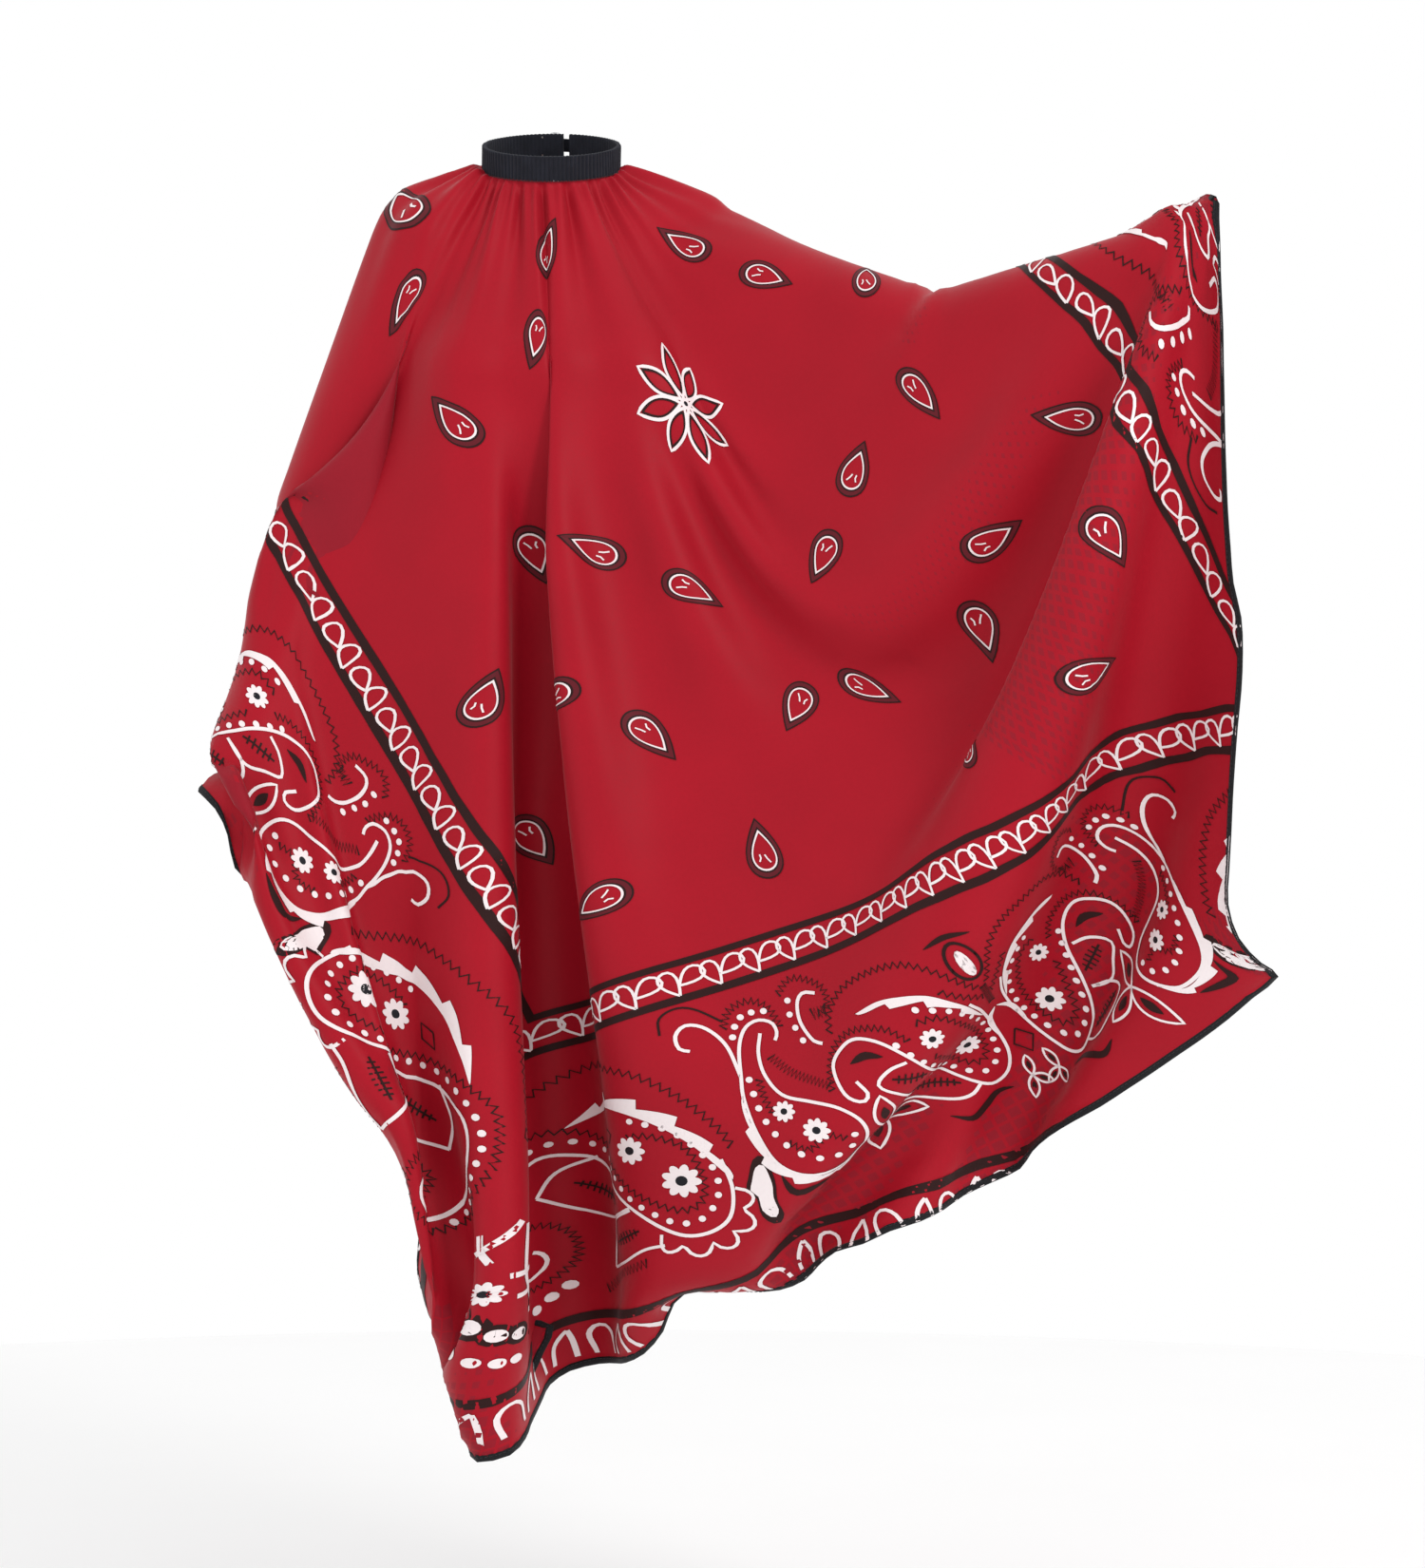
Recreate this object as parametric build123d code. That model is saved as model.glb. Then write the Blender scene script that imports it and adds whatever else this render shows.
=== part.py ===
from build123d import *

import math
import os

# A barber cape as it hangs on a person who holds its two side hems out with both hands.
# Millimetres. The origin is the centre of the neck opening, +Z is up, and the wearer faces -Y.

# Neckband: a knitted tube round an elastic core, tilted forward on the neck.
BAND_INNER_R = 62.0
BAND_OUTER_R = 66.0
BAND_HEIGHT = 24.0
BAND_TILT = 18.0
KNIT_WALL = 0.9
CORE_CLEARANCE = 0.1

# The band is open at the back: end A carries the clip and end B carries the tail.
BAND_END_A_X = 10.0
BAND_END_B_X = 16.0

# Cam clip, riveted on end A. Its plate follows the band and its two ears hold the lever's pin.
PLATE_GAP = 0.1
PLATE_THICK = 0.8
PLATE_LEFT_X = -14.0
PLATE_RIGHT_X = 9.0
PLATE_HEIGHT = 22.0
PLATE_CUT_DEPTH = 20.0
EAR_THICK = 0.8
EAR_WIDTH = 9.0
PIN_X = 1.0
PIN_Y = 73.2
PIN_R = 1.0
PIN_CLEARANCE = 0.05
PIN_HEAD_R = 1.7
PIN_HEAD_THICK = 0.6
RIVET_X = -11.0
RIVET_Z = 8.9
RIVET_R = 0.8
RIVET_HEAD_R = 1.5
RIVET_HEAD_THICK = 0.6
RIVET_HEAD_LIFT = 0.25
RIVET_HOLE_LENGTH = 20.0

# Lever: a toothed cam round the pin and a curved handle.
LEVER_WIDTH = 19.8
LEVER_LUG = 1.2
CAM_R = 3.2
CAM_WALL = 1.0
CAM_NOSE_R = 3.9
CAM_TEETH = 5
TOOTH_SPACING = 16.0
TOOTH_HALF_WIDTH = 0.75
TOOTH_ROOT_DEPTH = 0.3
HANDLE_LENGTH = 24.0
HANDLE_THICK = 1.2
HANDLE_DROP = 5.0
HANDLE_MIDDLE_DROP = 1.7

# Tail: the free end of the band, sewn on end B, which the cam presses on the plate.
TAIL_WIDTH = 13.0
TAIL_THICK = 2.0
TAIL_SEWN_GAP = 0.1
TAIL_CLIP_R = 67.05
TAIL_SEWN_ARC = 34.0
TAIL_END_ARC = -46.0
TAIL_STEP_FROM = 15.0
TAIL_STEP_TO = 8.0
TAIL_OUTLINE_STEPS = 40
STITCH_R = 0.25
STITCH_LENGTH = 7.0
STITCH_COUNT = 7
STITCH_PITCH = 2.2
STITCH_END_GAP = 3.0

# Cloth: a 1270 x 1676 sheet. Its solid is a thin folded shell; the real cloth is 0.12 thick.
CLOTH_THICK = 3.0
BINDING_WIDTH = 5.0
SLIT_BINDING_WIDTH = 4.0
NECK_EDGE_R = 64.0
SLIT_HALF_GAP = 8.0
SEAM_THREAD_R = 0.8

# The folded sheet, ray by ray from the back slit, round the +X side, the front and the -X side,
# back to the slit. Right and left in the names are the +X and -X sides. Each ray runs from the
# neck edge over the shoulder line, through a point half way down, to the hem.
RAYS = [
    ("slit_right", (8, 100, -60), (10, 150, -270), (10, 190, -500)),
    ("back_right_middle", (40, 105, -70), (60, 160, -330), (60, 232, -590)),
    ("back_right_corner", (80, 95, -75), (135, 120, -400), (210, 125, -790)),
    ("right_side_back", (125, 60, -60), (200, 20, -290), (295, -40, -590)),
    ("right_side_arm", (150, 25, -45), (300, -75, -215), (400, -150, -400)),
    ("right_elbow", (150, -5, -40), (370, -150, -165), (520, -280, -215)),
    ("right_hand", (140, -55, -60), (330, -230, -140), (595, -405, -105)),
    ("right_hem_middle", (120, -85, -120), (360, -280, -320), (632, -390, -450)),
    ("front_right_corner", (100, -100, -160), (385, -250, -480), (655, -385, -780)),
    ("front_hem_right", (75, -105, -175), (240, -215, -540), (520, -315, -885)),
    ("front_hem_middle", (30, -115, -180), (100, -175, -600), (255, -225, -1035)),
    ("front_hem_left", (0, -115, -185), (10, -150, -650), (70, -160, -1125)),
    ("front_fold", (-30, -110, -185), (-60, -145, -670), (-66, -190, -1228)),
    ("front_left_corner", (-50, -105, -185), (-85, -115, -650), (-85, -110, -1190)),
    ("left_hem_middle", (-80, -90, -160), (-130, -105, -520), (-175, -115, -870)),
    ("left_hand", (-105, -60, -110), (-185, -85, -390), (-305, -125, -640)),
    ("left_side_front", (-135, -35, -75), (-215, -70, -300), (-325, -90, -575)),
    ("left_side_arm", (-160, -5, -60), (-225, -20, -300), (-300, -30, -570)),
    ("left_side_back", (-140, 50, -55), (-200, 75, -320), (-230, 80, -640)),
    ("back_left_corner", (-90, 90, -70), (-120, 130, -400), (-110, 125, -790)),
    ("back_left_middle", (-45, 105, -70), (-70, 160, -330), (-90, 232, -590)),
    ("slit_left", (-8, 100, -60), (-10, 150, -270), (-10, 190, -500)),
]

# Each hem binding runs between two named rays.
HEM_BINDINGS = {
    "hem_binding_back_right": ("slit_right", "back_right_corner"),
    "hem_binding_right": ("back_right_corner", "front_right_corner"),
    "hem_binding_front": ("front_right_corner", "front_left_corner"),
    "hem_binding_left": ("front_left_corner", "back_left_corner"),
    "hem_binding_back_left": ("back_left_corner", "slit_left"),
}

TILT = Rot(X=BAND_TILT)


# ---- polyhedra: cloth and bindings ----------------------------------------------------------


def polyhedron(triangles):
    """A solid from triangles that close a volume."""
    faces = [Face(Wire.make_polygon(corners, close=True)) for corners in triangles]
    return Solid(Shell(faces))


def split_quad(a, b, c, d):
    return [(a, b, c), (a, c, d)]


def neck_edge(index):
    """The point of the neck edge where a ray starts, under the tilted band."""
    slit_angle = math.asin(SLIT_HALF_GAP / NECK_EDGE_R)
    turn = slit_angle + (2 * math.pi - 2 * slit_angle) * index / (len(RAYS) - 1)
    local = Vector(NECK_EDGE_R * math.sin(turn), NECK_EDGE_R * math.cos(turn), -BAND_HEIGHT / 2)
    return local.rotate(Axis.X, BAND_TILT)


def cloth_grids():
    """The outer and inner surface points, one row for each ray."""
    outer = [[neck_edge(i)] + [Vector(*p) for p in ray[1:]] for i, ray in enumerate(RAYS)]
    rows, columns = len(outer), len(outer[0])
    inner = []
    for i in range(rows):
        row = []
        for j in range(columns):
            across = outer[min(i + 1, rows - 1)][j] - outer[max(i - 1, 0)][j]
            down = outer[i][min(j + 1, columns - 1)] - outer[i][max(j - 1, 0)]
            row.append(outer[i][j] - across.cross(down).normalized() * CLOTH_THICK)
        inner.append(row)
    return outer, inner


def closed_shell(outer, inner):
    """A solid between two grids of points."""
    rows, columns = len(outer), len(outer[0])
    triangles = []
    for i in range(rows - 1):
        for j in range(columns - 1):
            triangles += split_quad(outer[i][j], outer[i][j + 1], outer[i + 1][j + 1], outer[i + 1][j])
            triangles += split_quad(inner[i][j], inner[i + 1][j], inner[i + 1][j + 1], inner[i][j + 1])
    for i in range(rows - 1):
        for j in (0, columns - 1):
            triangles += split_quad(inner[i][j], outer[i][j], outer[i + 1][j], inner[i + 1][j])
    for j in range(columns - 1):
        for i in (0, rows - 1):
            triangles += split_quad(inner[i][j], outer[i][j], outer[i][j + 1], inner[i][j + 1])
    return polyhedron(triangles)


def strip(sections):
    """A solid through four-sided sections, closed at both ends."""
    triangles = []
    for first, second in zip(sections, sections[1:]):
        for k in range(4):
            m = (k + 1) % 4
            triangles += split_quad(first[k], first[m], second[m], second[k])
    triangles += split_quad(*sections[0])
    triangles += split_quad(*sections[-1])
    return polyhedron(triangles)


def hem_binding(outer, inner, first, last):
    """The tape past the cloth's rim, from one ray to another."""
    sections = []
    for i in range(first, last + 1):
        reach = (outer[i][-1] - outer[i][-2]).normalized() * BINDING_WIDTH
        sections.append([outer[i][-1], outer[i][-1] + reach, inner[i][-1] + reach, inner[i][-1]])
    return strip(sections)


def slit_binding(outer, inner, ray, side):
    """The tape along one edge of the back slit."""
    reach = Vector(-side * SLIT_BINDING_WIDTH, 0, 0)
    sections = []
    for a, b in zip(outer[ray], inner[ray]):
        sections.append([a, a + reach, b + reach, b])
    return strip(sections)


# ---- neckband -------------------------------------------------------------------------------


def ring(inner_r, outer_r, height):
    return Cylinder(outer_r, height) - Cylinder(inner_r, height)


def back_gap(from_x, to_x, height):
    """A block across the back of the band, cut out of it to open it."""
    width = to_x - from_x
    return Pos((from_x + to_x) / 2, BAND_OUTER_R, 0) * Box(width, BAND_OUTER_R, height)


def rivet_holes():
    hole = Rot(X=90) * Cylinder(RIVET_R, RIVET_HOLE_LENGTH)
    return [Pos(RIVET_X, BAND_OUTER_R, z) * hole for z in (-RIVET_Z, RIVET_Z)]


def neckband_knit():
    """The knitted tube, closed at its two ends."""
    tube = ring(BAND_INNER_R, BAND_OUTER_R, BAND_HEIGHT)
    tube -= back_gap(BAND_END_A_X, BAND_END_B_X, BAND_HEIGHT)
    cavity = ring(BAND_INNER_R + KNIT_WALL, BAND_OUTER_R - KNIT_WALL, BAND_HEIGHT - 2 * KNIT_WALL)
    cavity -= back_gap(BAND_END_A_X - KNIT_WALL, BAND_END_B_X + KNIT_WALL, BAND_HEIGHT)
    tube -= cavity
    for hole in rivet_holes():
        tube -= hole
    return tube


def neckband_elastic():
    """The woven elastic inside the knitted tube."""
    wall = KNIT_WALL + CORE_CLEARANCE
    core = ring(BAND_INNER_R + wall, BAND_OUTER_R - wall, BAND_HEIGHT - 2 * wall)
    core -= back_gap(BAND_END_A_X - wall, BAND_END_B_X + wall, BAND_HEIGHT)
    for hole in rivet_holes():
        core -= hole
    return core


def neck_seam_thread():
    """The overlock seam, a cord of thread round the band's lower edge."""
    seam = Pos(0, 0, -BAND_HEIGHT / 2) * Torus(BAND_OUTER_R + SEAM_THREAD_R, SEAM_THREAD_R)
    return seam - back_gap(BAND_END_A_X, BAND_END_B_X, BAND_HEIGHT * 2)


# ---- cam clip -------------------------------------------------------------------------------


def clip_plate():
    """The plate that follows the band, with the two ears that hold the pin."""
    inner_r = BAND_OUTER_R + PLATE_GAP
    plate = ring(inner_r, inner_r + PLATE_THICK, PLATE_HEIGHT)
    middle_x = (PLATE_LEFT_X + PLATE_RIGHT_X) / 2
    plate &= Pos(middle_x, inner_r, 0) * Box(PLATE_RIGHT_X - PLATE_LEFT_X, PLATE_CUT_DEPTH, PLATE_HEIGHT)
    ear_base_y = inner_r + PLATE_THICK / 2
    ear_round_r = EAR_WIDTH / 2
    for side in (-1, 1):
        ear_z = side * (PLATE_HEIGHT - EAR_THICK) / 2
        foot = Pos(PIN_X, (ear_base_y + PIN_Y) / 2, ear_z) * Box(EAR_WIDTH, PIN_Y - ear_base_y, EAR_THICK)
        top = Pos(PIN_X, PIN_Y, ear_z) * Cylinder(ear_round_r, EAR_THICK)
        plate += foot + top
    plate -= Pos(PIN_X, PIN_Y, 0) * Cylinder(PIN_R, PLATE_HEIGHT * 2)
    for hole in rivet_holes():
        plate -= hole
    return plate


def clip_rivets():
    """Two tubular rivets through the plate and end A of the band."""
    inner_face = BAND_INNER_R
    plate_face = BAND_OUTER_R + PLATE_GAP + PLATE_THICK
    rivets = []
    for z in (-RIVET_Z, RIVET_Z):
        face_y = math.sqrt(plate_face**2 - RIVET_X**2)
        back_y = math.sqrt(inner_face**2 - RIVET_X**2)
        top_y = face_y + RIVET_HEAD_LIFT
        shank = Pos(RIVET_X, (top_y + back_y) / 2, z) * Rot(X=90) * Cylinder(RIVET_R, top_y - back_y)
        head_y = top_y + RIVET_HEAD_THICK / 2
        head = Pos(RIVET_X, head_y, z) * Rot(X=90) * Cylinder(RIVET_HEAD_R, RIVET_HEAD_THICK)
        rivets.append(shank + head)
    return Compound(rivets)


def clip_pin():
    """The hinge pin, with a head at each end."""
    length = PLATE_HEIGHT + 2 * PIN_HEAD_THICK
    pin = Cylinder(PIN_R, length)
    for side in (-1, 1):
        head_z = side * (PLATE_HEIGHT + PIN_HEAD_THICK) / 2
        pin += Pos(0, 0, head_z) * Cylinder(PIN_HEAD_R, PIN_HEAD_THICK)
    return Pos(PIN_X, PIN_Y, 0) * pin


def clip_lever():
    """The cam with its teeth and the handle, closed along the band towards -X."""
    hub = Cylinder(CAM_R, LEVER_WIDTH)
    for k in range(CAM_TEETH):
        angle = -90 + (k - (CAM_TEETH - 1) / 2) * TOOTH_SPACING
        root = CAM_R - TOOTH_ROOT_DEPTH
        tooth = Polyline((root, -TOOTH_HALF_WIDTH), (CAM_NOSE_R, 0), (root, TOOTH_HALF_WIDTH), close=True)
        hub += Rot(Z=angle) * extrude(make_face(tooth), LEVER_WIDTH / 2, both=True)
    hub -= Cylinder(CAM_R - CAM_WALL, LEVER_WIDTH - 2 * LEVER_LUG)
    crown = Vector(0, CAM_R - HANDLE_THICK)
    middle = crown + Vector(-HANDLE_LENGTH / 2, -HANDLE_MIDDLE_DROP)
    tip = crown + Vector(-HANDLE_LENGTH, -HANDLE_DROP)
    rise = Vector(0, HANDLE_THICK)
    under = Spline(crown, middle, tip)
    over = Spline(crown + rise, middle + rise, tip + rise)
    outline = [under, Line(tip, tip + rise), over, Line(crown, crown + rise)]
    lever = hub + extrude(make_face(outline), LEVER_WIDTH / 2, both=True)
    lever -= Cylinder(PIN_R + PIN_CLEARANCE, LEVER_WIDTH * 2)
    return Pos(PIN_X, PIN_Y, 0) * lever


# ---- tail -----------------------------------------------------------------------------------


def tail_radius(arc):
    """The inner radius of the tail at a distance along the band from the back's middle."""
    t = min(max((TAIL_STEP_FROM - arc) / (TAIL_STEP_FROM - TAIL_STEP_TO), 0), 1)
    sewn = BAND_OUTER_R + TAIL_SEWN_GAP
    return sewn + (TAIL_CLIP_R - sewn) * t * t * (3 - 2 * t)


def on_band(arc, radius):
    turn = arc / BAND_OUTER_R
    return (radius * math.sin(turn), radius * math.cos(turn))


def band_tail():
    """The tail as a strip that follows the band over the clip's plate."""
    step = (TAIL_END_ARC - TAIL_SEWN_ARC) / TAIL_OUTLINE_STEPS
    arcs = [TAIL_SEWN_ARC + step * k for k in range(TAIL_OUTLINE_STEPS + 1)]
    inside = [on_band(a, tail_radius(a)) for a in arcs]
    outside = [on_band(a, tail_radius(a) + TAIL_THICK) for a in arcs]
    outline = Polyline(*inside, *reversed(outside), close=True)
    return extrude(make_face(outline), TAIL_WIDTH / 2, both=True)


def tail_stitches():
    """The bar tack that holds the tail on end B."""
    stitches = []
    first = TAIL_SEWN_ARC - STITCH_END_GAP - STITCH_PITCH * (STITCH_COUNT - 1)
    for k in range(STITCH_COUNT):
        arc = first + k * STITCH_PITCH
        x, y = on_band(arc, tail_radius(arc) + TAIL_THICK + STITCH_R)
        stitches.append(Pos(x, y, 0) * Cylinder(STITCH_R, STITCH_LENGTH))
    return Compound(stitches)


# ---- build ----------------------------------------------------------------------------------


def main():
    outer, inner = cloth_grids()
    names = [ray[0] for ray in RAYS]
    parts = {"cape_cloth": closed_shell(outer, inner)}
    for name, (first, last) in HEM_BINDINGS.items():
        parts[name] = hem_binding(outer, inner, names.index(first), names.index(last))
    parts["slit_binding_right"] = slit_binding(outer, inner, 0, 1)
    parts["slit_binding_left"] = slit_binding(outer, inner, len(RAYS) - 1, -1)
    on_neck = {
        "neckband_knit": neckband_knit(),
        "neckband_elastic": neckband_elastic(),
        "neck_seam_thread": neck_seam_thread(),
        "clip_plate": clip_plate(),
        "clip_rivets": clip_rivets(),
        "clip_pin": clip_pin(),
        "clip_lever": clip_lever(),
        "band_tail": band_tail(),
        "tail_stitches": tail_stitches(),
    }
    for name, shape in on_neck.items():
        parts[name] = TILT * shape
    os.makedirs("parts", exist_ok=True)
    for name, shape in parts.items():
        export_step(shape, f"parts/{name}.step")


main()
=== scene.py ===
import math

import bmesh
import bpy
import numpy as np
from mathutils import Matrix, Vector
from mathutils.bvhtree import BVHTree


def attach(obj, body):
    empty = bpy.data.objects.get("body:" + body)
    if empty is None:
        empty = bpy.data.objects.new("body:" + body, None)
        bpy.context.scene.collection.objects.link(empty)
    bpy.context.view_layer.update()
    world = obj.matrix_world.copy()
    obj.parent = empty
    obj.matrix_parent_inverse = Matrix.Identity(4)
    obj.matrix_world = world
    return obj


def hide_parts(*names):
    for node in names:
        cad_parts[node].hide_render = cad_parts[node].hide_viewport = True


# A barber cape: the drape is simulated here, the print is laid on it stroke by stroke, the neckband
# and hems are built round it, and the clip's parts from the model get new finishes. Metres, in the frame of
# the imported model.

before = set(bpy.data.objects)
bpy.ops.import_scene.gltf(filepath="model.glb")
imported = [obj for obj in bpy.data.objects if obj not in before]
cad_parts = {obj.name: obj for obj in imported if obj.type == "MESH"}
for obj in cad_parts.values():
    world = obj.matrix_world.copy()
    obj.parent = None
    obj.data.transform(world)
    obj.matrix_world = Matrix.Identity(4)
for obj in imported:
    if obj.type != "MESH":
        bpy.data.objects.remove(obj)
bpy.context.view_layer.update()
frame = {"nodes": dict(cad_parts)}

# ---- driving dimensions ----------------------------------------------------------------------

SHEET_WIDTH = 1.27
SHEET_LENGTH = 1.676
NECK_TO_CENTRE = 0.300
FRONT_EDGE = SHEET_LENGTH / 2 + NECK_TO_CENTRE
BACK_EDGE = SHEET_LENGTH / 2 - NECK_TO_CENTRE
HOLE_RADIUS = 0.080
CLOTH_THICKNESS = 0.0004

BAND_RADIUS = 0.064
BAND_HEIGHT = 0.024
BAND_TILT = math.radians(18)

LEFT_GRIP = np.array([-0.610, 0.455])
RIGHT_GRIP = np.array([0.610, 0.450])
GRIP_RADIUS = 0.036

LEFT_HAND = np.array([-0.298, -0.13, -0.622])
RIGHT_HAND = np.array([0.588, -0.36, -0.108])
ELBOW = np.array([0.370, -0.165, -0.195])
# How the cloth's own width and length run in each hand, and how tightly it is bunched there.
LEFT_HOLD = ((0.75, -0.35, 0.45), (0.35, 0, -0.9))
RIGHT_HOLD = ((0.85, -0.35, 0.2), (0.1, -0.1, -0.95))
BUNCHING = 0.7

FLOOR = -1.45
FLOOR_RADIUS = 2.5
CAMERA_DISTANCE = 4.2
VIEW_CENTRE = (0.156, -0.607)
FRAME_HEIGHT = 1.518

# ---- camera and light ------------------------------------------------------------------------


def look(obj, target):
    obj.rotation_euler = (Vector(target) - obj.location).to_track_quat("-Z", "Y").to_euler()


def add_camera():
    camera = bpy.data.objects.new("camera", bpy.data.cameras.new("camera"))
    bpy.context.collection.objects.link(camera)
    camera.location = (VIEW_CENTRE[0], -CAMERA_DISTANCE, VIEW_CENTRE[1])
    camera.rotation_euler = (math.pi / 2, 0, 0)
    camera.data.sensor_fit = "VERTICAL"
    camera.data.angle = 2 * math.atan(FRAME_HEIGHT / 2 / CAMERA_DISTANCE)
    bpy.context.scene.camera = camera


def add_light(name, place, target, size, power):
    light = bpy.data.lights.new(name, "AREA")
    light.shape = "DISK"
    light.size = size
    light.energy = power
    obj = bpy.data.objects.new(name, light)
    bpy.context.collection.objects.link(obj)
    obj.location = place
    look(obj, target)


def add_world():
    world = bpy.data.worlds.new("studio")
    world.use_nodes = True
    background = world.node_tree.nodes["Background"]
    background.inputs["Color"].default_value = (1, 1, 1, 1)
    background.inputs["Strength"].default_value = 1.0
    bpy.context.scene.world = world


# ---- the flat sheet --------------------------------------------------------------------------

# The sheet is a fan of rays from the neck hole to the edge. It starts and ends at the back slit,
# and every corner of the sheet is the end of a ray. COUNTS is the rays to each stretch of edge.
CORNERS = [
    (0, -BACK_EDGE),
    (SHEET_WIDTH / 2, -BACK_EDGE),
    (SHEET_WIDTH / 2, FRONT_EDGE),
    (-SHEET_WIDTH / 2, FRONT_EDGE),
    (-SHEET_WIDTH / 2, -BACK_EDGE),
    (0, -BACK_EDGE),
]
COUNTS = [10, 27, 22, 27, 10]
RINGS = 28


def flat_sheet(fineness):
    """Flat places of the grid's points, ray by ray, and each ray's direction at the neck."""
    edge = []
    for a, b, count in zip(CORNERS, CORNERS[1:], COUNTS):
        steps = np.arange(count * fineness)[:, None] / (count * fineness)
        edge.append(np.array(a) + (np.array(b) - np.array(a)) * steps)
    edge = np.vstack(edge + [np.array(CORNERS[-1:])])
    aim = np.unwrap(np.arctan2(edge[:, 1], edge[:, 0]))
    even = np.linspace(-np.pi / 2, 1.5 * np.pi, len(edge))
    turn = (aim + even) / 2
    hole = HOLE_RADIUS * np.stack([np.cos(turn), np.sin(turn)], axis=1)
    reach = np.linspace(0, 1, RINGS * fineness + 1)[None, :, None] ** 1.15
    return hole[:, None] * (1 - reach) + edge[:, None] * reach, turn


def on_neck(x, y, z):
    """Turns places in the band's own frame to the tilt of the neck."""
    c, s = math.cos(BAND_TILT), math.sin(BAND_TILT)
    return np.stack([x, y * c - z * s, y * s + z * c], axis=-1)


def neck_ring(turn):
    """Where the cloth is sewn on: the lower rim of the tilted neckband."""
    x = BAND_RADIUS * np.cos(turn)
    y = -BAND_RADIUS * np.sin(turn)
    return on_neck(x, y, np.zeros_like(x) - BAND_HEIGHT / 2)


# ---- the drape -------------------------------------------------------------------------------

# What the cape hangs on: tapered capsules for a neutral body and its two arms. Each one is its two
# ends, the radius at each end, and how much flatter it is from front to back. They aren't shown.
BODY = [
    ((0, 0.01, -0.05), (0, 0.015, 0.05), 0.056, 0.052, 1.0),
    ((-0.045, 0.01, -0.035), (-0.112, 0.005, -0.075), 0.036, 0.050, 1.0),
    ((0.045, 0.01, -0.035), (0.13, 0.005, -0.083), 0.034, 0.046, 1.0),
    ((0, 0.02, -0.17), (0.03, 0.02, -0.36), 0.150, 0.130, 1.40),
    ((0.03, 0.02, -0.36), (0.10, 0.02, -0.62), 0.130, 0.165, 1.35),
    ((-0.07, -0.055, -0.22), (0.075, -0.055, -0.22), 0.062, 0.062, 1.0),
    ((0.06, 0.02, -0.68), (0.075, 0.02, -1.30), 0.085, 0.060, 1.0),
    ((0.19, 0.02, -0.68), (0.21, 0.02, -1.30), 0.085, 0.060, 1.0),
    ((-0.118, 0, -0.085), (-0.218, -0.01, -0.34), 0.050, 0.042, 1.0),
    ((-0.218, -0.01, -0.34), tuple(LEFT_HAND + (0.02, 0.04, 0.05)), 0.042, 0.028, 1.0),
    ((0.14, 0, -0.095), tuple(ELBOW), 0.046, 0.036, 1.0),
    (tuple(ELBOW), tuple(RIGHT_HAND + (-0.03, 0.04, -0.03)), 0.042, 0.028, 1.0),
]
SKIN_GAP = 0.004
# Behind this depth, each side of the back slit keeps this far from the middle.
BACK_FROM = 0.06
SLIT_GAP = 0.003
FRICTION = 0.35
GRAVITY = 9.81
TIME_STEP = 1 / 120
TOP_SPEED = 3.0
LIFT_TIME = 1.2

# Gentle pulls that settle places of the sheet, most of them on the hem: where each is on the flat
# sheet, where it hangs, and how much of the way it is drawn there at each pass.
TUCKS = [
    ((-0.460, 1.125), (-0.066, -0.20, -1.222), 0.10),
    ((-0.635, 1.138), (0.000, -0.07, -1.110), 0.06),
    ((-0.530, 0.985), (-0.083, -0.17, -1.120), 0.15),
    ((-0.540, 0.820), (-0.125, -0.19, -0.930), 0.10),
    ((-0.635, 0.890), (-0.112, -0.11, -0.985), 0.25),
    ((-0.635, 0.760), (-0.170, -0.12, -0.865), 0.25),
    ((-0.635, 0.600), (-0.240, -0.12, -0.730), 0.25),
    ((-0.635, 0.260), (-0.260, 0.02, -0.730), 0.10),
    ((-0.635, 0.060), (-0.225, 0.11, -0.740), 0.05),
    ((-0.369, 0.275), (-0.262, -0.03, -0.310), 0.05),
    ((0.635, 0.300), (0.550, -0.27, -0.200), 0.10),
    ((0.635, 0.150), (0.500, -0.20, -0.330), 0.05),
    ((0.635, 0.827), (0.625, -0.375, -0.470), 0.05),
    ((0.635, 1.138), (0.640, -0.38, -0.775), 0.10),
    ((0.460, 1.138), (0.520, -0.305, -0.875), 0.05),
    ((0.370, 1.138), (0.455, -0.265, -0.925), 0.05),
    ((0.280, 1.138), (0.390, -0.220, -0.968), 0.05),
    ((0.190, 1.138), (0.325, -0.265, -0.995), 0.05),
    ((0.100, 1.138), (0.255, -0.220, -1.025), 0.05),
    ((-0.060, 1.138), (0.130, -0.140, -1.080), 0.05),
    ((-0.260, 1.138), (0.020, -0.030, -1.160), 0.05),
]
TUCK_RADIUS = 0.035


def push_out(points, before, free):
    """Moves points out of the body, and holds back their slide along it."""
    flat = points.reshape(-1, 3)
    old = before.reshape(-1, 3)
    can = free.reshape(-1) > 0
    for start, end, r0, r1, squeeze in BODY:
        scale = np.array([1, squeeze, 1.0])
        a = np.array(start)
        line = (np.array(end) - a) * scale
        local = (flat - a) * scale
        along = np.clip(local @ line / (line @ line), 0, 1)
        away = local - along[:, None] * line
        depth = r0 + (r1 - r0) * along + SKIN_GAP - np.sqrt((away**2).sum(axis=1))
        hit = (depth > 0) & can
        if not hit.any():
            continue
        out = away[hit] / (np.linalg.norm(away[hit], axis=1, keepdims=True) + 1e-12)
        flat[hit] += out * depth[hit][:, None] / scale
        normal = out * scale
        normal /= np.linalg.norm(normal, axis=1, keepdims=True)
        moved = flat[hit] - old[hit]
        slide = moved - (moved * normal).sum(axis=1, keepdims=True) * normal
        flat[hit] -= FRICTION * slide


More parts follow.
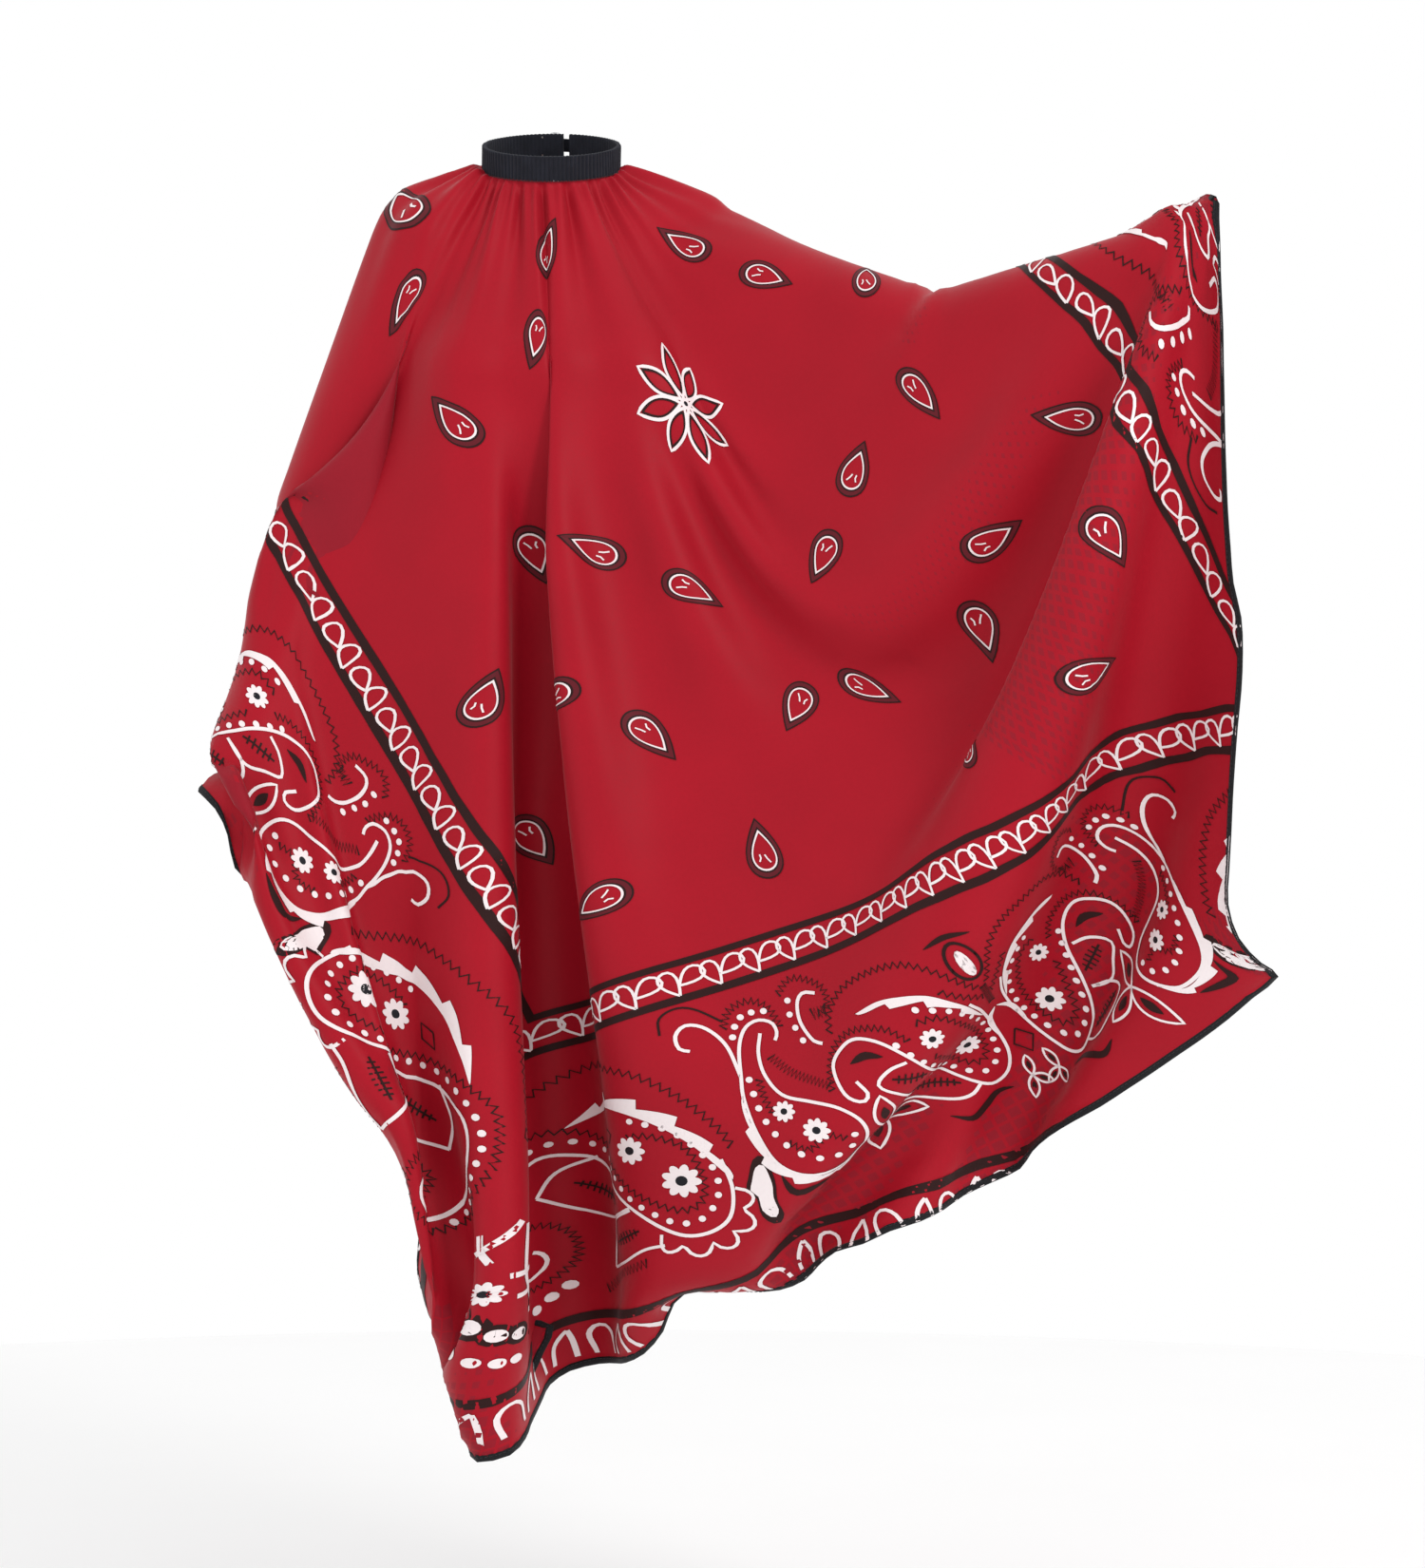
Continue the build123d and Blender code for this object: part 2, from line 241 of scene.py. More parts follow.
def keep_apart(points):
    """Keeps the two sides of the back slit from passing through each other."""
    rows = len(points)
    side = np.where(np.arange(rows) < rows // 2, 1, -1)[:, None]
    reach = side * points[..., 0]
    crossed = (points[..., 1] > BACK_FROM) & (reach < SLIT_GAP)
    points[..., 0] += np.where(crossed, side * (SLIT_GAP - reach), 0)


def springs(flat, free, bending):
    """The cloth's threads, as pairs of grid slices that share no point, so each set moves at once."""
    rays, rings = flat.shape[0], flat.shape[1]
    hole = np.clip((np.linalg.norm(flat, axis=2) - HOLE_RADIUS) / 0.25, 0, 1)
    sets = []

    def add(first, second, stretch, squash, ease):
        rest = np.linalg.norm(flat[first] - flat[second], axis=2)
        weight = free[first] + free[second] + 1e-9
        press = squash * hole[first] if ease else squash
        sets.append((first, second, rest, free[first] / weight, free[second] / weight, stretch, press))

    every = slice(None)
    for p in (0, 1):
        row, next_row = slice(p, rays - 1, 2), slice(p + 1, rays, 2)
        add((row, every), (next_row, every), 1.0, 0.6, True)
        add((row, slice(0, rings - 1)), (next_row, slice(1, rings)), 0.35, 0.1, True)
        add((row, slice(1, rings)), (next_row, slice(0, rings - 1)), 0.35, 0.1, True)
        add((every, slice(p, rings - 1, 2)), (every, slice(p + 1, rings, 2)), 1.0, 1.0, False)
    for p in range(4):
        add((slice(p, rays - 2, 4), every), (slice(p + 2, rays, 4), every), bending, bending, False)
        add((every, slice(p, rings - 2, 4)), (every, slice(p + 2, rings, 4)), bending, bending, False)
    return sets


def pull_together(points, sets):
    for first, second, rest, part_a, part_b, stretch, press in sets:
        a, b = points[first], points[second]
        line = b - a
        length = np.sqrt(np.einsum("ijk,ijk->ij", line, line)) + 1e-12
        over = length - rest
        share = np.where(over > 0, stretch, press) * over / length
        a += (part_a * share)[..., None] * line
        b -= (part_b * share)[..., None] * line


def in_hand(offset, hold):
    """Where the cloth round a grip is, from the hand that holds it."""
    return BUNCHING * (offset[:, :1] * hold[0] + offset[:, 1:] * hold[1])


def hang(points, flat, turn, steps, passes, bending, drag, lift):
    """Lets the sheet fall and settle while the hands carry their two grips to their places."""
    free = np.ones(flat.shape[:2])
    free[:, 0] = 0
    left = np.linalg.norm(flat - LEFT_GRIP, axis=2) < GRIP_RADIUS
    right = np.linalg.norm(flat - RIGHT_GRIP, axis=2) < GRIP_RADIUS
    free[left | right] = 0
    sets = springs(flat, free, bending)
    points[:, 0] = neck_ring(turn)
    start_left, start_right = points[left].mean(axis=0), points[right].mean(axis=0)
    tucks = []
    for spot, goal, share in TUCKS:
        tucks.append((np.linalg.norm(flat - spot, axis=2) < TUCK_RADIUS, np.array(goal), share))
    speed = np.zeros_like(points)
    for step in range(steps):
        t = min(1, step * TIME_STEP / LIFT_TIME) if lift else 1
        t = t * t * (3 - 2 * t)
        speed[..., 2] -= GRAVITY * TIME_STEP
        speed *= math.exp(-drag * TIME_STEP)
        size = np.linalg.norm(speed, axis=2, keepdims=True)
        speed *= np.minimum(1, TOP_SPEED / (size + 1e-9))
        before = points.copy()
        points += speed * TIME_STEP * free[..., None]
        points[left] = start_left * (1 - t) + LEFT_HAND * t
        points[left] += in_hand(flat[left] - LEFT_GRIP, LEFT_HOLD)
        points[right] = start_right * (1 - t) + RIGHT_HAND * t
        points[right] += in_hand(flat[right] - RIGHT_GRIP, RIGHT_HOLD)
        for _ in range(passes):
            pull_together(points, sets)
            if t == 1:
                for patch, goal, share in tucks:
                    points[patch] += share * (goal - points[patch].mean(axis=0))
        push_out(points, before, free)
        keep_apart(points)
        speed = (points - before) / TIME_STEP
    return points


def refine(values, axis):
    """Twice as many steps along one axis, on a smooth curve through the old ones."""
    v = np.moveaxis(values, axis, 0)
    ends = np.concatenate([2 * v[:1] - v[1:2], v, 2 * v[-1:] - v[-2:-1]])
    middle = (9 * (ends[1:-2] + ends[2:-1]) - ends[:-3] - ends[3:]) / 16
    out = np.empty((2 * len(v) - 1,) + v.shape[1:])
    out[0::2] = v
    out[1::2] = middle
    return np.ascontiguousarray(np.moveaxis(out, 0, axis))


def refine_both(values):
    return refine(refine(values, 0), 1)


def drape():
    """The draped places of the grid's points at the finest grid."""
    flat, turn = flat_sheet(1)
    noise = np.random.default_rng(1).normal(0, 0.001, flat.shape[:2])
    points = np.stack([flat[..., 0], -flat[..., 1], 0.03 + noise], axis=2)
    points = hang(points, flat, turn, steps=360, passes=6, bending=0.15, drag=1.5, lift=True)
    points = refine_both(points)
    flat, turn = flat_sheet(2)
    points = hang(points, flat, turn, steps=200, passes=8, bending=0.25, drag=3.0, lift=False)
    return refine_both(points)


# ---- the cloth -------------------------------------------------------------------------------


def normals_of(grid):
    """The outward normal at each point of a grid."""
    normal = np.cross(np.gradient(grid, axis=0), np.gradient(grid, axis=1))
    return normal / (np.linalg.norm(normal, axis=2, keepdims=True) + 1e-12)


def grid_faces(rows, columns, first=0, flip=False):
    i, j = np.meshgrid(np.arange(rows - 1), np.arange(columns - 1), indexing="ij")
    a = (first + i * columns + j).ravel()
    quads = np.stack([a, a + 1, a + columns + 1, a + columns], axis=1)
    return quads[:, ::-1] if flip else quads


def add_flat_places(obj, flat):
    """Keeps each point's place on the flat sheet, for the weave."""
    places = obj.data.attributes.new("flat", "FLOAT_VECTOR", "POINT")
    places.data.foreach_set("vector", np.column_stack([flat, np.zeros(len(flat))]).ravel())


def make_mesh(name, points, faces, material, smooth=True):
    mesh = bpy.data.meshes.new(name)
    mesh.from_pydata([tuple(p) for p in points], [], [tuple(f) for f in faces])
    if smooth:
        mesh.shade_smooth()
    mesh.materials.append(material)
    obj = bpy.data.objects.new(name, mesh)
    bpy.context.collection.objects.link(obj)
    return obj


def rim_faces(rows, columns):
    """Closes the gap between the two layers of a grid along its two sides and its last ring."""
    i, j = np.arange(rows), np.arange(columns)
    walk = np.concatenate([i * columns, (rows - 1) * columns + j[1:], i[-2::-1] * columns + columns - 1,
                           j[-2::-1]])
    count = rows * columns
    return np.stack([walk[1:], walk[:-1], walk[:-1] + count, walk[1:] + count], axis=1)


def build_cloth(surface, flat):
    rows, columns = surface.shape[:2]
    inner = surface - normals_of(surface) * CLOTH_THICKNESS
    points = np.concatenate([surface.reshape(-1, 3), inner.reshape(-1, 3)])
    count = rows * columns
    outside = grid_faces(rows, columns)
    inside = grid_faces(rows, columns, count, flip=True)
    faces = np.concatenate([outside, inside, rim_faces(rows, columns)])
    cloth = make_mesh("cape_cloth_sheet", points, faces, cloth_material("cape_cloth_red", RED, 0.52))
    cloth.data.materials.append(cloth_material("cape_cloth_reverse", RED_REVERSE, 0.62))
    cloth.data.polygons.foreach_set("material_index", np.arange(len(faces)) >= len(outside))
    add_flat_places(cloth, np.concatenate([flat.reshape(-1, 2)] * 2))
    return cloth


# Each set of gathers: how many round the neck, how uneven, how deep, how far from the neck they
# start and how far they fade.
GATHERS = [(37, 1.2, 0.0034, 0.006, 0.060), (14, 1.6, 0.0070, 0.020, 0.160)]
# How far from the neck the smoothing fades out over the chest, how far elsewhere, and its passes.
# A direction counts as the chest from this share of its forward part, and wholly after the second.
GATHER_EASE = 0.35
GATHER_NECK = 0.03
GATHER_SMOOTHING = 300
FRONT_FROM, FRONT_EASE = 0.25, 0.45


def gather(surface, flat):
    """Fine gathers under the neckband, which run together into a few soft folds."""
    reach = np.linalg.norm(flat, axis=2, keepdims=True)
    out = reach - HOLE_RADIUS
    front = np.clip((flat[..., 1:] / reach - FRONT_FROM) / FRONT_EASE, 0, 1)
    near = np.clip(1 - out / GATHER_EASE, 0, 1) ** 2 * np.maximum(front, np.exp(-out / GATHER_NECK))
    near[:, 0] = 0
    step = np.linalg.norm(np.diff(flat, axis=0), axis=2, keepdims=True)
    lean = step[:-1] / (step[:-1] + step[1:])
    # The sheet's own grid lines bend too, and that part of the bend is to stay.
    bend = flat[:-2] * (1 - lean) + flat[2:] * lean - flat[1:-1]
    round_neck, down = (flat[2:] - flat[:-2]) / 2, np.gradient(flat, axis=1)[1:-1]
    whole = np.cross(round_neck, down)
    keep_round = (np.cross(bend, down) / whole)[..., None]
    keep_down = (np.cross(round_neck, bend) / whole)[..., None]
    for _ in range(GATHER_SMOOTHING):
        middle = surface[:-2] * (1 - lean) + surface[2:] * lean
        middle -= keep_round * (surface[2:] - surface[:-2]) / 2
        middle -= keep_down * np.gradient(surface, axis=1)[1:-1]
        surface[1:-1] += 0.5 * near[1:-1] * (middle - surface[1:-1])
    turn = np.unwrap(np.arctan2(flat[:, 0, 1], flat[:, 0, 0]))[:, None, None]
    height = 0
    for count, swing, depth, start, fade in GATHERS:
        wave = np.sin(count * turn + swing * np.sin(3 * turn + count))
        height = height + depth * wave * (1 - np.exp(-out / start)) * np.exp(-out / fade)
    return surface + normals_of(surface) * height


# ---- materials -------------------------------------------------------------------------------

RED = (0.345, 0.0042, 0.0145)
RED_REVERSE = (0.270, 0.0080, 0.0185)
INK_COLOURS = {
    "dark": (0.024, 0.007, 0.007),
    "rose": (0.110, 0.010, 0.016),
    "white": (0.820, 0.740, 0.745),
    "top": (0.012, 0.012, 0.016),
}
NAVY_BLACK = (0.0105, 0.0115, 0.0175)
BINDING_BLACK = (0.0085, 0.0085, 0.0100)


class Nodes:
    """Short calls to build one material's nodes."""

    def __init__(self, name):
        self.material = bpy.data.materials.new(name)
        self.material.use_nodes = True
        self.tree = self.material.node_tree
        self.shader = self.tree.nodes["Principled BSDF"]

    def add(self, kind, **values):
        node = self.tree.nodes.new(kind)
        for key, value in values.items():
            setattr(node, key, value)
        return node

    def link(self, source, target):
        self.tree.links.new(source, target)

    def place(self, attribute=None):
        if attribute:
            return self.add("ShaderNodeAttribute", attribute_name=attribute).outputs["Vector"]
        return self.add("ShaderNodeTexCoord").outputs["Object"]

    def noise(self, place, scale, detail=3.0):
        node = self.add("ShaderNodeTexNoise")
        node.inputs["Scale"].default_value = scale
        node.inputs["Detail"].default_value = detail
        self.link(place, node.inputs["Vector"])
        return node.outputs["Fac"]

    def stretched(self, place, scale):
        node = self.add("ShaderNodeMapping")
        node.inputs["Scale"].default_value = scale
        self.link(place, node.inputs["Vector"])
        return node.outputs["Vector"]

    def wave(self, place, scale, direction, distortion=0.0):
        node = self.add("ShaderNodeTexWave", bands_direction=direction)
        node.inputs["Scale"].default_value = scale
        node.inputs["Distortion"].default_value = distortion
        self.link(place, node.inputs["Vector"])
        return node.outputs["Fac"]

    def math(self, operation, first, second):
        node = self.add("ShaderNodeMath", operation=operation)
        for socket, value in zip(node.inputs, (first, second)):
            if isinstance(value, (int, float)):
                socket.default_value = value
            else:
                self.link(value, socket)
        return node.outputs[0]

    def ramp(self, fac, low, high, start=0.3, end=0.7):
        node = self.add("ShaderNodeValToRGB")
        node.color_ramp.elements[0].position = start
        node.color_ramp.elements[1].position = end
        node.color_ramp.elements[0].color = (*low, 1)
        node.color_ramp.elements[1].color = (*high, 1)
        self.link(fac, node.inputs["Fac"])
        return node.outputs["Color"]

    def bump(self, height, strength, distance):
        node = self.add("ShaderNodeBump")
        node.inputs["Strength"].default_value = strength
        node.inputs["Distance"].default_value = distance
        self.link(height, node.inputs["Height"])
        self.link(node.outputs["Normal"], self.shader.inputs["Normal"])

    def set(self, **values):
        for key, value in values.items():
            self.shader.inputs[key.replace("_", " ")].default_value = value


def tint(colour, factor):
    return tuple(min(1, c * factor) for c in colour)


def cloth_material(name, colour, roughness, vary=0.08, sheen=0.06):
    """Fine plain weave in the sheet's own flat directions, with a soft sheen."""
    n = Nodes(name)
    flat = n.place("flat")
    warp = n.noise(n.stretched(flat, (1, 12, 1)), 160, 2)
    weft = n.noise(n.stretched(flat, (12, 1, 1)), 160, 2)
    weave = n.math("ADD", warp, weft)
    cloudy = n.noise(flat, 9, 4)
    slub = n.noise(flat, 260, 2)
    mixed = n.math("ADD", n.math("MULTIPLY", cloudy, 0.7), n.math("MULTIPLY", slub, 0.3))
    n.link(n.ramp(mixed, tint(colour, 1 - vary), tint(colour, 1 + vary)), n.shader.inputs["Base Color"])
    rough = n.math("ADD", n.math("MULTIPLY", slub, 0.12), roughness - 0.06)
    n.link(rough, n.shader.inputs["Roughness"])
    n.bump(n.math("ADD", weave, n.math("MULTIPLY", slub, 0.5)), 0.30, 0.00012)
    n.set(Sheen_Weight=sheen, Sheen_Roughness=0.45, Specular_IOR_Level=0.12)
    return n.material


def tape_material(name, colour, scale=900):
    """Ribbed grosgrain tape."""
    n = Nodes(name)
    place = n.place()
    ribs = n.wave(place, scale, "DIAGONAL", 1.5)
    fuzz = n.noise(place, 700, 4)
    n.link(n.ramp(fuzz, tint(colour, 0.7), tint(colour, 1.7)), n.shader.inputs["Base Color"])
    n.link(n.math("ADD", n.math("MULTIPLY", fuzz, 0.2), 0.5), n.shader.inputs["Roughness"])
    n.bump(n.math("ADD", ribs, fuzz), 0.5, 0.0002)
    n.set(Sheen_Weight=0.04, Specular_IOR_Level=0.15)
    return n.material


def knit_material(name, colour):
    """Fuzzy yarn: small loops and stray fibres, with painted shade in the loops' hollows and painted
    highlight on their tops.
    """
    n = Nodes(name)
    place = n.place()
    loops = n.wave(place, 620, "Z", 2.5)
    fuzz = n.noise(place, 1500, 5)
    broad = n.noise(place, 90, 2)
    # The colour is painted shade in the hollows of the loops and painted highlight on their tops, mixed with
    # broad random tone.
    loop_shade_and_tone = n.math("ADD", n.math("MULTIPLY", loops, 0.5), n.math("MULTIPLY", broad, 0.5))
    n.link(n.ramp(loop_shade_and_tone, tint(colour, 0.55), tint(colour, 2.1), 0.2, 0.85), n.shader.inputs["Base Color"])
    n.link(n.math("ADD", n.math("MULTIPLY", fuzz, 0.15), 0.78), n.shader.inputs["Roughness"])
    n.bump(n.math("ADD", loops, fuzz), 0.7, 0.0003)
    n.set(Sheen_Weight=0.06, Sheen_Roughness=0.6, Specular_IOR_Level=0.12)
    return n.material


def steel_material(name, colour, roughness):
    """Bright plated steel with fine draw marks and faint handling wear."""
    n = Nodes(name)
    place = n.place()
    marks = n.wave(place, 900, "Z", 6)
    smudge = n.noise(place, 160, 3)
    n.link(n.ramp(smudge, tint(colour, 0.85), tint(colour, 1.05)), n.shader.inputs["Base Color"])
    n.link(n.math("ADD", n.math("MULTIPLY", smudge, 0.18), roughness), n.shader.inputs["Roughness"])
    n.bump(marks, 0.15, 0.00005)
    n.set(Metallic=1.0)
    return n.material


def pale_material(name, colour):
    n = Nodes(name)
    grain = n.noise(n.place(), 3, 2)
    n.link(n.ramp(grain, tint(colour, 0.99), colour), n.shader.inputs["Base Color"])
    n.set(Roughness=0.85)
    return n.material


# ---- the print: strokes on the flat cloth, in millimetres from the middle flower ---------------

FRAME_IN = (383, 488)
FRAME_OUT = (408, 520)
OUTER_LINE = (611, 780)
STROKE_STEP = 4.0
INKS = {"dark": [], "rose": [], "white": [], "top": []}


def smooth_path(points, closed=False, step=STROKE_STEP):
    """An even walk along a smooth curve through the points."""
    p = np.array(points, float)
    if closed:
        p = np.concatenate([p[-1:], p, p[:2]])
    else:
        p = np.concatenate([2 * p[:1] - p[1:2], p, 2 * p[-1:] - p[-2:-1]])
    t = np.linspace(0, 1, 16, endpoint=False)[None, :, None]
    p0, p1, p2, p3 = (p[k:len(p) - 3 + k, None] for k in range(4))
    curve = p1 + 0.5 * t * (p2 - p0 + t * (2 * p0 - 5 * p1 + 4 * p2 - p3 + t * (3 * (p1 - p2) + p3 - p0)))
    curve = np.concatenate([curve.reshape(-1, 2), p[-2:-1]])
    reach = np.concatenate([[0], np.cumsum(np.linalg.norm(np.diff(curve, axis=0), axis=1))])
    even = np.linspace(0, reach[-1], max(2, round(reach[-1] / step)) + 1)
    return np.stack([np.interp(even, reach, curve[:, k]) for k in (0, 1)], axis=1)


def sideways(path):
    """The unit direction to the left of the path at each of its points."""
    along = np.gradient(path, axis=0)
    along /= np.linalg.norm(along, axis=1, keepdims=True) + 1e-9
    return np.stack([-along[:, 1], along[:, 0]], axis=1)


def band(ink, left, right, at):
    """Inks the strip between two lines of points, cut finely enough to lie on the cloth."""
    left, right = at(left), at(right)
    width = np.linalg.norm(left - right, axis=1).max()
    share = np.linspace(0, 1, int(np.ceil(width / 6)) + 1)[None, :, None]
    grid = left[:, None] * (1 - share) + right[:, None] * share
    d1, d2 = np.gradient(grid, axis=0), np.gradient(grid, axis=1)
    if (d1[..., 0] * d2[..., 1] - d1[..., 1] * d2[..., 0]).sum() < 0:
        grid = grid[:, ::-1]
    INKS[ink].append(grid)


def stroke(ink, path, width, at):
    side = sideways(path) * np.reshape(width, (-1, 1)) / 2
    band(ink, path + side, path - side, at)


def line(ink, points, width, at, closed=False):
    stroke(ink, smooth_path(points, closed), width, at)


def swoosh(ink, points, width, at):
    """A brush mark, thick in its middle and thin at both ends."""
    path = smooth_path(points)
    stroke(ink, path, 0.5 + width * np.sin(np.linspace(0, np.pi, len(path))) ** 0.8, at)


def zigzag(points, at, pitch=7, height=5.5, width=1.7):
    path = smooth_path(points, step=pitch / 2)
    swing = np.where(np.arange(len(path)) % 2, 0.5, -0.5)[:, None] * height
    stroke("dark", path + sideways(path) * swing, width, at)


def flame(points, teeth, width, at):
    """A white brush mark with a saw edge on its outer side."""
    path = smooth_path(points, step=2.5)
    t = np.linspace(0, 1, len(path))
    saw = 1 - (t * teeth) % 1
    reach = width * np.sin(np.pi * t) ** 0.5 * (0.45 + 0.55 * saw) + 0.8
    band("white", path, path + sideways(path) * reach[:, None], at)


def blob(ink, outline, at):
    centre = outline.mean(axis=0)
    band(ink, outline, np.repeat(centre[None], len(outline), axis=0), at)


def circle(centre, rx, ry=None, count=14):
    turn = np.linspace(0, 2 * np.pi, count + 1)
    return np.array(centre) + np.stack([rx * np.cos(turn), (ry or rx) * np.sin(turn)], axis=1)


def dots(points, at, pitch=12.5, radius=2.8):
    for spot in smooth_path(points, step=pitch):
        blob("white", circle(spot, radius, count=10), at)


def gear(centre, radius, at, petals=9):
    turn = np.linspace(0, 2 * np.pi, petals * 6 + 1)
    reach = radius * (0.70 + 0.30 * np.abs(np.cos(turn * petals / 2)))
    outline = np.array(centre) + reach[:, None] * np.stack([np.cos(turn), np.sin(turn)], axis=1)
    blob("white", outline, at)
    blob("top", circle(centre, 0.30 * radius), at)


def lens(base, tip, fullness):
    """The closed outline of a leaf from base to tip."""
    base, tip = np.array(base, float), np.array(tip, float)
    axis = tip - base
    side = np.array([-axis[1], axis[0]]) * fullness / 2
    t = np.linspace(0, 1, 12)[:, None]
    bulge = np.sin(np.pi * t) ** 0.85 * side
    return np.concatenate([base + axis * t + bulge, (base + axis * t - bulge)[-2::-1]])


def petal(base, tip, fullness, at, width=2.4):
    outline = lens(base, tip, fullness)
    stroke("white", outline, width, at)
    middle = outline.mean(axis=0)
    blob("dark", middle + (outline - middle) * 0.44, at)


def trefoil(centre, size, at, width=2.4):
    centre = np.array(centre, float)
    for tip in ((-0.25, -1.0), (-0.85, 0.55), (0.45, 1.05)):
        petal(centre, centre + size * np.array(tip), 0.42, at, width)


def fishbone(start, end, at):
    start, end = np.array(start, float), np.array(end, float)
    axis = end - start
    length = np.linalg.norm(axis)
    side = np.array([-axis[1], axis[0]]) / length
    line("dark", [start, (start + end) / 2, end], 1.8, at)
    count = int(length / 4.5)
    for k in range(1, count):
        spot = start + axis * k / count
        reach = 5.5 * np.sin(np.pi * k / count) ** 0.5
        stroke("dark", np.array([spot - side * reach, spot, spot + side * reach]), 1.5, at)


def diamond(centre, rx, ry, at):
    corners = np.array([(0, -ry), (rx, 0), (0, ry), (-rx, 0), (0, -ry)], float) + centre
    stroke("dark", corners, 1.7, at)


def teardrop(length, width, bend=0.12, count=36):
    """A closed teardrop outline round the origin, its tip along +x and bent a little."""
    turn = np.linspace(0, 2 * np.pi, count + 1)
    x = np.cos(turn)
    y = np.where(turn > np.pi, -1, 1) * np.abs(np.sin(turn)) * np.abs(np.sin(turn / 2)) * 1.25
    y = y + bend * (x + 1) ** 2
    return np.stack([x * length / 2, y * width / 2], axis=1)


# ---- motifs: s runs along the border from its middle, t out from the frame --------------------


def mid_paisley(at):
    line("white", [(134, 115), (131, 127), (138, 132), (147, 122), (146, 97), (131, 84), (116, 82), (99, 92),
                   (86, 112), (76, 142), (66, 172), (53, 190), (41, 196), (26, 190), (16, 172), (12, 142),
                   (13, 112), (19, 92)], 2.8, at)
    flame([(109, 62), (86, 59), (66, 61), (46, 67), (33, 77), (21, 94), (13, 122)], 4, -11, at)
    swoosh("white", [(1, 122), (11, 133), (14, 156)], 5, at)
    dots([(59, 75), (36, 88), (22, 112), (18, 140), (25, 170), (42, 182), (59, 170), (69, 145), (79, 121),
          (90, 97)], at)
    zigzag([(66, 85), (48, 88), (36, 105), (28, 128), (27, 148), (32, 165), (42, 172), (53, 164), (60, 145),
            (69, 120)], at)
    gear((62, 103), 10, at)
    gear((41, 148), 12, at)
    line("white", [(91, 113), (106, 114), (120, 123), (111, 137), (101, 150), (79, 150)], 2.6, at)
    line("white", [(79, 150), (99, 151), (111, 162), (99, 182), (81, 194), (66, 196), (53, 190)], 2.6, at)
    fishbone((83, 137), (108, 122), at)
    fishbone((66, 184), (103, 162), at)
    zigzag([(5, 82), (26, 52), (51, 37), (81, 33), (111, 37), (131, 52), (138, 70)], at)
    zigzag([(79, 97), (91, 82), (116, 74), (136, 80), (149, 97), (156, 117)], at, 5.5)
    swoosh("dark", [(31, 207), (46, 205), (61, 212), (76, 216), (91, 207)], 6, at)
    swoosh("dark", [(104, 102), (117, 97), (132, 100)], 6, at)


def side_trefoils(at):
    trefoil((134, 172), 40, at)
    trefoil((12, 202), 17, at, 1.8)


def curl(at):
    line("white", [(136, 32), (146, 28), (154, 35), (158, 52), (154, 70), (147, 76)], 3, at)
    zigzag([(141, 50), (130, 46), (128, 30), (141, 16), (154, 12), (167, 22)], at, 5, 6)
    zigzag([(133, 50), (146, 49)], at, 3.4, 11)
    dots([(161, 30), (164, 42), (164, 55), (162, 68)], at)


def thorn_paisley(at):
    line("white", [(193, 50), (201, 67), (203, 87), (196, 107), (176, 120), (156, 132), (147, 147),
                   (151, 167), (166, 182), (181, 186), (206, 177), (221, 160), (227, 132), (226, 102),
                   (221, 82), (213, 57), (203, 42), (191, 38), (181, 44), (180, 54), (184, 60)], 2.8, at)
    line("white", [(221, 82), (221, 52), (229, 32), (241, 24), (251, 30), (253, 42), (247, 47)], 2.8, at)
    flame([(226, 98), (228, 132), (222, 160), (206, 178), (181, 188), (160, 180)], 5, -10, at)
    dots([(216, 86), (218, 114), (213, 139), (200, 159), (181, 170), (163, 167), (157, 157)], at)
    dots([(183, 32), (191, 30), (200, 30), (208, 36), (214, 46)], at, 9)
    gear((200, 121), 9.5, at)
    gear((181, 144), 10.5, at)
    zigzag([(176, 50), (179, 30), (191, 19), (208, 22), (218, 36)], at, 5, 6)
    zigzag([(209, 88), (211, 104), (209, 120)], at, 5)
    zigzag([(164, 158), (176, 150), (192, 158), (205, 148)], at, 5)
    zigzag([(156, 112), (181, 92), (193, 72)], at, 3.4, 7.5)
    line("dark", [(216, 30), (231, 12), (243, 7), (256, 12), (261, 26)], 1.8, at)
    swoosh("dark", [(186, 195), (206, 194), (219, 190), (221, 172)], 6, at)


def moth(at):
    wing = smooth_path([(231, 160), (238, 160), (244, 170), (248, 178), (244, 184), (246, 196), (242, 206),
                        (236, 200), (234, 188), (230, 176)], closed=True)
    middle = wing.mean(axis=0)
    blob("dark", middle + (wing - middle) * 1.35, at)
    blob("white", wing, at)


